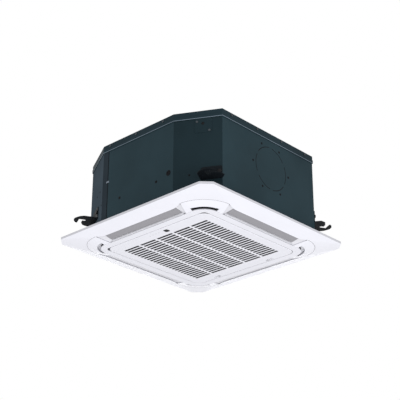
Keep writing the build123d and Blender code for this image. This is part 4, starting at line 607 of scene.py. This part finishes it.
# ---- Operators, one for each piece or group of like pieces ----
class CassetteCasing(bpy.types.Operator):
    """Painted sheets, pans and plates of the casing"""
    bl_idname = "cassette.casing"
    bl_label = "Casing"

    def execute(self, context):
        casing = context.scene.cassette_casing
        # Painted shade: the casing's front left corner faces are made darker (0.62)
        paint = painted("casing_paint", casing.paint, casing.paint_roughness, 0.10, painted_light_tone=0.62)
        give(["casing_front", "casing_rear", "corner_bracket", "pipe_plate"], paint)
        give(["top_pan"], painted("lid_paint", casing.lid_paint, casing.paint_roughness, 0.10))
        # Painted light: the back left corner panel is made 2.2 times lighter on faces that look its way, and
        # has no sheen
        give(["casing_corner_panel"],
             painted("corner_paint", casing.corner_paint, casing.paint_roughness, 0.14, painted_light_tone=2.2,
                     corner=slant(casing, 1), sheen=0.0))
        soften(["top_pan", "corner_bracket", "pipe_plate"], casing.edge)
        self.painted_hem_highlight(casing)
        rubber = moulded("plug_rubber", casing.plug, 0.7, 0.3, sheen=0.08)
        self.gasket(casing, rubber)
        self.plugs(casing, rubber)
        return {"FINISHED"}

    def painted_hem_highlight(self, casing):
        """Painted highlight: a thin bright line along the lid's folded lower edge."""
        low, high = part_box("top_pan")
        outline = casing_outline(casing)
        proud = high.x - max(point.x for point in outline)
        shape = bmesh.new()
        bead = (-0.6, 0), (0, 0), (0.15, 0.3), (0.15, 1.7), (-0.6, 1.9)
        rail(shape, outline, [(proud + out * MM, low.z + rise * MM) for out, rise in bead])
        piece("painted_hem_highlight", shape, "unit", painted("hem_highlight_paint", casing.hem, 0.35, 0.2))

    def gasket(self, casing, rubber):
        """Rubber strip behind the open seam, and the pale strap that bridges it."""
        half = half_casing()
        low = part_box("casing_corner_panel")[0]
        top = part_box("top_pan")[0].z
        shape = bmesh.new()
        middle = Vector((-half + 1.3 * MM, casing.seam_y, (low.z + top) / 2 + 0.5 * MM))
        tall = (top - low.z) / 2 - 0.8 * MM
        for shift in (-1.25, 0, 1.25):
            bar(shape, middle + Vector((0, shift * MM, 0)), *AXES,
                (0.3 * MM + 0.1 * MM * (shift == 0), 0.62 * MM, tall))
        piece("seam_gasket", shape, "unit", rubber)
        shape = bmesh.new()
        outline = [Vector((-half - away * MM, casing.seam_y + along * MM)) for along, away in
                   ((6, 0.3), (2.5, 0.9), (0, 1.1), (-2.5, 0.9), (-6, 0.3))]
        band = (-0.35, -2.6), (0.35, -3), (0.6, 0), (0.35, 3), (-0.35, 2.6)
        rail(shape, outline, [(out * MM, STRAP_LEVEL * MM + rise * MM) for out, rise in band], closed=False)
        zinc = metal("strap_zinc", casing.strap, (0.1, 0.1, 0.1), 0.5, 0.4)
        piece("seam_strap", shape, "unit", zinc)

    def plugs(self, casing, rubber):
        """Rubber plug in the round mark, and the press studs of the two left corners."""
        half = half_casing()
        shape = bmesh.new()
        turned(shape, Vector((-half, CABLE_MARK[0] * MM, CABLE_MARK[1] * MM)), LEFT,
               metres(((7.8, -0.45), (8.6, 0), (8.8, 0.5), (8.0, 1.0), (5.2, 0.7), (4.6, 0.25), (1.2, 0.2),
                       (0, 0.6))), 32)
        piece("cable_plug", shape, "unit", rubber, 40)
        shape = bmesh.new()
        for place, radius, stretch in REAR_STUDS:
            stud = (radius, -0.6), (radius, 0.3), (radius * 0.8, 0.8), (radius * 0.35, 0.9), (0, 0.55)
            turned(shape, Vector(place) * MM, slant(casing, 1), metres(stud), 20, stretch)
        turned(shape, Vector(NEAR_STUD) * MM, slant(casing, -1),
               metres(((2.8, -0.6), (2.8, 0.3), (2.2, 0.8), (1.0, 0.9), (0, 0.5))))
        piece("corner_studs", shape, "unit", rubber, 40)
        self.grommets(half, rubber)
        self.groove_shades(half, rubber)

    def at_knockout(self, half, across, high, proud=0):
        """A place on the front sheet, counted from the knock-out's middle in millimetres."""
        return Vector(((KNOCKOUT[0] + across) * MM, -half - proud * MM, (KNOCKOUT[1] + high) * MM))

    def grommets(self, half, rubber):
        """Rubber plugs in the tie holes, and in the six holes round the branch duct knock-out."""
        shape = bmesh.new()
        holes = [(Vector((-half, across * MM, high * MM)), LEFT, TIE_HOLE) for across, high in TIE_HOLES]
        for sixth in range(6):
            turn = math.radians(60 * sixth)
            place = self.at_knockout(half, KNOCKOUT_RING * math.cos(turn), KNOCKOUT_RING * math.sin(turn))
            holes.append((place, FRONT, KNOCKOUT_HOLE))
        for place, axis, hole in holes:
            stem, flange = hole * 0.95, hole + 1.5
            turned(shape, place, axis, metres(((0, -0.75), (stem, -0.75), (stem, 0.02), (flange, 0.02),
                                               (flange - 0.2, 0.4), (0, 0.5))))
        piece("hole_grommets", shape, "unit", rubber, 40)

    def groove_shades(self, half, rubber):
        """Painted shade: six black beads laid in the knock-out's cut arcs."""
        shape = bmesh.new()
        bead = (69.1, -0.1), (69.5, 0.25), (70.9, 0.25), (71.4, -0.1), (70.9, -0.7), (69.5, -0.7)
        for sixth in range(6):
            rows = []
            for point in arc((0, 0), 1, 36 + 60 * sixth, 84 + 60 * sixth, 12):
                rows.append([shape.verts.new(self.at_knockout(half, away * point.x, away * point.y, proud))
                             for away, proud in bead])
            joined(shape, rows, False)
        piece("knockout_groove_shade", shape, "unit", rubber)


class CassetteHangers(bpy.types.Operator):
    """Hanging lugs, bolts, rivets and casing screws"""
    bl_idname = "cassette.hangers"
    bl_label = "Hanging lugs and screws"

    def execute(self, context):
        casing = context.scene.cassette_casing
        give(["hanger_lugs"], painted("lug_paint", casing.lug_paint, 0.5, 0.12))
        dark = metal("dark_screw", casing.screw, (0.03, 0.03, 0.03), 0.5, 0.32)
        give(["lid_screws"], dark)
        black = moulded("blackened", casing.plug, 0.5, 0.3, sheen=0.15)
        give(["lug_bolts"], black)
        give(["bracket_rivets"], metal("rivet", casing.rivet, (0.05, 0.05, 0.05), 0.4, 0.4))
        soften(["hanger_lugs", "lug_bolts"], 0.3 * MM)
        shape = bmesh.new()
        turned(shape, Vector(BRACKET_HOLE) * MM, slant(casing, -1),
               metres(((4.6, 0.1), (4.6, 1.2), (3.9, 1.9), (1.8, 2.0), (1.6, 1.4), (0, 1.4))), 24)
        piece("bracket_bolt", shape, "unit", black, 40)
        self.recess_shades(casing)
        return {"FINISHED"}

    def recess_shades(self, casing):
        """Painted shade of a cross recess: a thin dark cross on the head of each casing screw."""
        low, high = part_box("lid_screws")
        level = (low.z + high.z) / 2
        shape = bmesh.new()
        heads = []
        for side, face in ((-1, low.y), (1, high.y)):
            heads += [(Vector((across * SCREWS_ALONG_X * MM, face, level)), Vector((0, side, 0)))
                      for across in (-1.5, -0.5, 0.5, 1.5)]
        for side, face in ((-1, low.x), (1, high.x)):
            heads += [(Vector((face, (across * SCREWS_ALONG_Y * MM + SCREW_SHIFT * MM) * side * -1, level)),
                       Vector((side, 0, 0))) for across in (-1, 0, 1)]
        for centre, outward in heads:
            aside = outward.cross(UP)
            for turn in (45, 135):
                along = aside * math.cos(math.radians(turn)) + UP * math.sin(math.radians(turn))
                bar(shape, centre, along, outward.cross(along), outward, (2.1 * MM, 0.35 * MM, 0.06 * MM))
        piece("screw_recess_shades", shape, "unit", moulded("painted_recess_shade", casing.plug, 0.8))


class CassettePanel(bpy.types.Operator):
    """White air panel with its corner covers"""
    bl_idname = "cassette.panel"
    bl_label = "Air panel"

    def execute(self, context):
        panel = context.scene.cassette_panel
        # Painted shade: the panel's upright sides are darkened to 0.55
        white = moulded("panel_white", panel.white, panel.gloss, side=0.55, sheen=0.4)
        covers = [name for name in cad_nodes if name.startswith("corner_cover")]
        give(["panel_frame", *covers], white)
        give(["corner_duct_foam", "panel_seals"], foam("lining_foam", panel.foam, 500.0, 0.4, 0.5))
        give(["panel_bolts"], galvanised(context.scene.cassette_inner))
        self.slit_lips(white)
        self.cover_lines(panel, covers)
        return {"FINISHED"}

    def slit_lips(self, white):
        """White lip on the outer side of each curved corner slit, with the ledge at its top."""
        shape = bmesh.new()
        lip = metres(((0, -26.1), (-0.7, -25.9), (-0.7, -20.8), (-12.2, -20.8), (-12.2, -20.2), (0, -20.2)))
        for quarter, (x, y) in enumerate(QUARTERS):
            start = 90 * quarter + 6
            outline = arc((x * ARC_CENTRE * MM, y * ARC_CENTRE * MM), SLIT_WALL * MM, start, start + 78, 16)
            rail(shape, outline, lip, closed=False)
        piece("slit_lips", shape, "unit", white, 40)

    def cover_lines(self, panel, covers):
        """Painted shade: a dark strip in the gap round the outer edge of each corner cover, and in the notch
        where it meets an outlet.
        """
        tree = underside(["panel_frame", "outlet_ducts", *covers])
        shape = bmesh.new()
        for quarter, signs in enumerate(QUARTERS):
            centre = Vector(signs) * (ARC_CENTRE * MM)
            rows = []
            for point in arc((0, 0), 1, 90 * quarter, 90 * quarter + 90, 28):
                inner, outer = (centre + point * (radius * MM) for radius in COVER_GAP)
                rows.append([shape.verts.new(landing(tree, place, shift * MM)) for place, shift in
                             ((inner, -0.05), (outer, -0.05), (outer, 0.3), (inner, 0.3))])
            joined(shape, rows, False)
        for quarter in range(4):
            spin = Matrix.Rotation(math.radians(90 * quarter), 2)
            for side in (1, -1):
                rows = [[], []]
                for u, v in NOTCH:
                    place = spin @ (Vector((u, v * side)) * MM)
                    for row, shift in zip(rows, (-0.06, 0.3)):
                        row.append(shape.verts.new(landing(tree, place, shift * MM)))
                joined(shape, rows, False)
        piece("cover_gap_shade", shape, "unit", moulded("gap_shade", panel.gap, 0.8))


class CassetteOutlets(bpy.types.Operator):
    """Outlet ducts, louvers and their motors"""
    bl_idname = "cassette.outlets"
    bl_label = "Outlets and louvers"

    def execute(self, context):
        panel = context.scene.cassette_panel
        inner = context.scene.cassette_inner
        give(["outlet_ducts"], moulded("duct_grey", panel.duct, 0.5))
        # Painted shade on the left and front louvers, painted light on the right and back louvers
        give(["louver_left", "louver_front"], moulded("louver_grey", panel.louver, 0.45))
        give(["louver_right", "louver_back"], moulded("louver_painted_light", panel.louver_painted_light, 0.45))
        give(["louver_motors"], black_plastic(inner))
        return {"FINISHED"}


class CassetteGrille(bpy.types.Operator):
    """Intake grille with its latches, hinge pins and display"""
    bl_idname = "cassette.grille"
    bl_label = "Intake grille"

    def execute(self, context):
        panel = context.scene.cassette_panel
        inner = context.scene.cassette_inner
        # Painted shade: the grille's upright sides, its slot walls among them, are darkened to 0.15
        white = moulded("grille_white", panel.white, panel.gloss, side=0.15, sheen=0.4)
        give(["intake_grille", "grille_latch_back", "grille_latch_front"], white)
        smoked = moulded("smoked_window", panel.window, 0.3, 0.0, 0.0, sheen=0.1)
        give(["display_window"], smoked)
        give(["indicator_lights"], moulded("frosted_lamp", panel.lamp, 0.35, 0.3))
        give(["display_board"], circuit_board(inner))
        give(["hinge_pins"], galvanised(inner))
        self.filter(panel)
        return {"FINISHED"}

    def filter(self, panel):
        """Air filter: moulded frame with its bars, and a woven net stretched over it."""
        low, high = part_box("air_filter")
        plastic = moulded("filter_frame", panel.net, 0.5, 0.3, 0.1)
        net_base = high.z - 0.7 * MM
        shape = bmesh.new()
        edge = 6 * MM
        outline = rounded_square(high.x, high.y, 8 * MM)
        rail(shape, outline, [(0, low.z + 0.6 * MM), (-0.6 * MM, low.z), (-edge + 0.6 * MM, low.z),
                              (-edge, low.z + 0.6 * MM), (-edge, net_base), (0, net_base)])
        middle = (low.z + net_base) / 2
        thick = (net_base - low.z) / 2
        for third in (-1 / 3, 1 / 3):
            bar(shape, Vector((third * high.x, 0, middle)), *AXES, (edge / 4, high.y - edge, thick))
            bar(shape, Vector((0, third * high.y, middle)), *AXES,
                (high.x - edge, edge / 4, thick - 0.2 * MM))
        frame_piece = piece("filter_frame", shape, "grille", plastic)
        shape = bmesh.new()
        strand = panel.net_strand / 2
        inset = 1.5 * MM
        for reach, other, line, across in ((high.x, high.y, 0, 1), (high.y, high.x, 1, 0)):
            count = int((reach - inset) / panel.net_pitch)
            for step in range(-count, count + 1):
                centre = [0, 0, net_base + (0.2 + 0.25 * line) * MM]
                centre[line] = step * panel.net_pitch
                sizes = [strand, strand, 0.13 * MM]
                sizes[across] = other - inset
                bar(shape, Vector(centre), *AXES, sizes)
        strands = moulded("filter_strands", panel.net, 0.7, 0.5, 0.2)
        net = piece("filter_net", shape, "grille", strands)
        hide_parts("air_filter")
        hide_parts("air_filter")


class CassetteInsides(bpy.types.Operator):
    """Fan, motor, coil, pipes, drain, insulation and controls"""
    bl_idname = "cassette.insides"
    bl_label = "Insides"

    def execute(self, context):
        inner = context.scene.cassette_inner
        give(["motor_bracket", "coil_end_plates", "control_box", "control_cover", "fan_nut", "motor_shaft",
              "motor_bearings", "motor_screws"], galvanised(inner))
        aluminium = metal("aluminium", inner.aluminium, (0.3, 0.31, 0.32), 0.4, 0.3)
        give(["motor_case"], aluminium)
        self.coil(inner, aluminium)
        give(["motor_rotor", "motor_stator"], metal("laminations", inner.zinc, (0.1, 0.07, 0.05), 0.9, 0.4))
        give(["rubber_bushes"], moulded("rubber", inner.rubber, 0.7, 0.3))
        give(["turbo_fan", "pump_impeller"], moulded("fan_plastic", inner.fan, 0.42))
        give(["bell_mouth", "float_switch", "pump_case"], black_plastic(inner))
        give(["drain_float"], moulded("float_white", inner.beads, 0.5))
        give(["drain_pan"], foam("bead_foam", inner.beads, 260.0, 0.12, 0.5))
        give(["side_insulation", "top_insulation"], foam("wall_foam", inner.wool, 420.0, 0.3, 0.5))
        give(["gas_pipe", "liquid_pipe", "return_bends"], copper(inner))
        give(["flare_nuts"], metal("brass", inner.brass, (0.25, 0.17, 0.08), 0.6, 0.22))
        give(["drain_pipe"], moulded("drain_plastic", inner.drain, 0.4))
        give(["control_board"], circuit_board(inner))
        return {"FINISHED"}

    def coil(self, inner, aluminium):
        """Stack of thin fins round the band, and the tubes that run through them."""
        low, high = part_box("coil_fins")
        thick, radius, gap_start = 26 * MM, 60 * MM, 150 * MM
        line = self.coil_line(high.x - thick / 2, radius - thick / 2, gap_start)
        route = self.even_route(line, inner.fin_pitch)
        shape = bmesh.new()
        for place, along in route:
            centre = Vector((*place, (low.z + high.z) / 2))
            direction = Vector((*along, 0))
            bar(shape, centre, direction, direction.cross(UP), UP,
                (inner.fin_sheet / 2, thick / 2, (high.z - low.z) / 2))
        fins = piece("coil_fin_stack", shape, "unit", aluminium)
        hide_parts("coil_fins")
        shape = bmesh.new()
        for row in range(TUBE_ROWS):
            for shift in (-TUBE_SIDE * MM, TUBE_SIDE * MM):
                self.tube(shape, route[::4] + route[-1:], shift, low.z + (FIRST_ROW + ROW_PITCH * row) * MM,
                          TUBE_RADIUS * MM)
        tubes = piece("coil_tubes", shape, "unit", copper(inner), 40)
        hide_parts("coil_fins")

    def coil_line(self, half, radius, gap_start):
        """Middle line of the coil band seen from above, from one end plate round to the other."""
        line = [Vector((half, gap_start))]
        for turn in (0, -90, -180):
            corner = Vector((half - radius, half - radius))
            spin = Matrix.Rotation(math.radians(turn - 90), 2)
            for step in range(13):
                angle = math.radians(90 - 90 * step / 12)
                line.append(spin @ (corner + Vector((math.cos(angle), math.sin(angle))) * radius))
        line.append(Vector((gap_start, half)))
        return line

    def even_route(self, line, pitch):
        """Points at an even pitch along a line, with the direction there."""
        route = []
        spare = pitch / 2
        for start, end in zip(line, line[1:]):
            run = end - start
            along = run.normalized()
            while spare < run.length:
                route.append((start + along * spare, along))
                spare += pitch
            spare -= run.length
        return route

    def tube(self, shape, route, shift, level, radius, sides=8):
        """Round tube beside a route."""
        rings = []
        for place, along in route:
            out = Vector((along.y, -along.x, 0))
            centre = Vector((*place, level)) + out * shift
            rings.append([shape.verts.new(centre + out * (radius * math.cos(math.tau * side / sides))
                                          + UP * (radius * math.sin(math.tau * side / sides)))
                          for side in range(sides)])
        joined(shape, rings, False)


class CassetteStage(bpy.types.Operator):
    """Pale floor, plain room light and the photo's camera"""
    bl_idname = "cassette.stage"
    bl_label = "Stage"

    def execute(self, context):
        stage = context.scene.cassette_stage
        self.room(context.scene, stage)
        self.floor(context.scene, stage)
        for name, (place, height, size, setting, part) in LAMPS.items():
            soft_lamp(name, place, (0, 0, height), size, getattr(stage, setting) * part)
        self.camera(context.scene, stage)
        return {"FINISHED"}

    def room(self, scene, stage):
        """World: white to the camera, an even soft level to the object."""
        world = bpy.data.worlds.new("room")
        world.use_nodes = True
        tree = world.node_tree
        tree.nodes.clear()
        mix = add_node(tree, "ShaderNodeMixShader")
        tree.links.new(seen_directly(tree), mix.inputs[0])
        for socket, strength in ((1, stage.surround), (2, 1.0)):
            glow = add_node(tree, "ShaderNodeBackground")
            glow.inputs["Color"].default_value = (1, 1, 1, 1)
            glow.inputs["Strength"].default_value = strength
            tree.links.new(glow.outputs[0], mix.inputs[socket])
        tree.links.new(mix.outputs[0], add_node(tree, "ShaderNodeOutputWorld").inputs["Surface"])
        scene.world = world

    def floor(self, scene, stage):
        """A wide pale floor below the unit."""
        reach = 8.0
        mesh = bpy.data.meshes.new("floor")
        mesh.from_pydata([(x * reach, y * reach, -stage.floor_drop) for x, y in QUARTERS], [], [(0, 1, 2, 3)])
        floor = bpy.data.objects.new("floor", mesh)
        scene.collection.objects.link(floor)
        material = bpy.data.materials.new("floor_paint")
        material.use_nodes = True
        tree = material.node_tree
        shader = tree.nodes["Principled BSDF"]
        shader.inputs["Base Color"].default_value = stage.floor
        shader.inputs["Roughness"].default_value = 0.9
        mesh.materials.append(material)

    def camera(self, scene, stage):
        """Camera at the photo's place, looking up at the near corner."""
        turn, rise, roll = stage.camera_turn, stage.camera_rise, stage.camera_roll
        back = Vector((math.sin(turn) * math.cos(rise), -math.cos(turn) * math.cos(rise), math.sin(rise)))
        aside = UP.cross(back).normalized()
        upward = back.cross(aside)
        tilted = aside * math.cos(roll) + upward * math.sin(roll)
        raised = upward * math.cos(roll) - aside * math.sin(roll)
        place = Vector(VIEW_POINT) + back * stage.camera_reach
        lens = bpy.data.cameras.new("camera")
        lens.lens = stage.lens
        lens.sensor_width = 36.0
        lens.clip_end = 100.0
        camera = bpy.data.objects.new("camera", lens)
        facing = Matrix((tilted, raised, back)).transposed().to_4x4()
        camera.matrix_world = Matrix.Translation(place) @ facing
        scene.collection.objects.link(camera)
        scene.camera = camera
        scene.view_settings.view_transform = "Standard"


def seen_directly(tree):
    """One for rays from the camera, mirrors and glass, nothing for light that falls on the object."""
    path = add_node(tree, "ShaderNodeLightPath")
    near = number(tree, "MAXIMUM", path.outputs["Is Camera Ray"], path.outputs["Is Glossy Ray"])
    return number(tree, "MAXIMUM", near, path.outputs["Is Transmission Ray"])


def soft_lamp(name, place, target, size, power):
    """A large square lamp turned to a point."""
    lamp = bpy.data.lights.new(name, "AREA")
    lamp.size = size
    lamp.energy = power
    holder = bpy.data.objects.new(name, lamp)
    holder.location = place
    holder.rotation_euler = (Vector(place) - Vector(target)).to_track_quat("Z", "Y").to_euler()
    bpy.context.scene.collection.objects.link(holder)


# ---- Sidebar and running ----
PIECES = (CassetteCasing, CassetteHangers, CassettePanel, CassetteOutlets, CassetteGrille, CassetteInsides,
          CassetteStage)
SETTINGS = {"cassette_casing": CassetteCasingSettings, "cassette_panel": CassettePanelSettings,
            "cassette_inner": CassetteInnerSettings, "cassette_stage": CassetteStageSettings}


class VIEW3D_PT_cassette(bpy.types.Panel):
    """Buttons and settings of the ceiling cassette"""
    bl_label = "Ceiling Cassette"
    bl_category = "Cassette"
    bl_space_type = "VIEW_3D"
    bl_region_type = "UI"

    def draw(self, context):
        for maker in PIECES:
            self.layout.operator(maker.bl_idname)
        for slot in SETTINGS:
            settings = getattr(context.scene, slot)
            box = self.layout.box()
            for field in settings.bl_rna.properties:
                if not field.is_readonly and field.identifier != "name":
                    box.prop(settings, field.identifier)


def register():
    """Register the settings, the operators and the panel."""
    for settings in SETTINGS.values():
        bpy.utils.register_class(settings)
    for slot, settings in SETTINGS.items():
        setattr(bpy.types.Scene, slot, bpy.props.PointerProperty(type=settings))
    for maker in PIECES:
        bpy.utils.register_class(maker)
    bpy.utils.register_class(VIEW3D_PT_cassette)


def unregister():
    """Take everything off again."""
    bpy.utils.unregister_class(VIEW3D_PT_cassette)
    for maker in reversed(PIECES):
        bpy.utils.unregister_class(maker)
    for slot, settings in SETTINGS.items():
        delattr(bpy.types.Scene, slot)
        bpy.utils.unregister_class(settings)


def main():
    """Build every piece."""
    register()
    for maker in PIECES:
        group, call = maker.bl_idname.split(".")
        getattr(getattr(bpy.ops, group), call)()


if __name__ == "__main__":
    main()
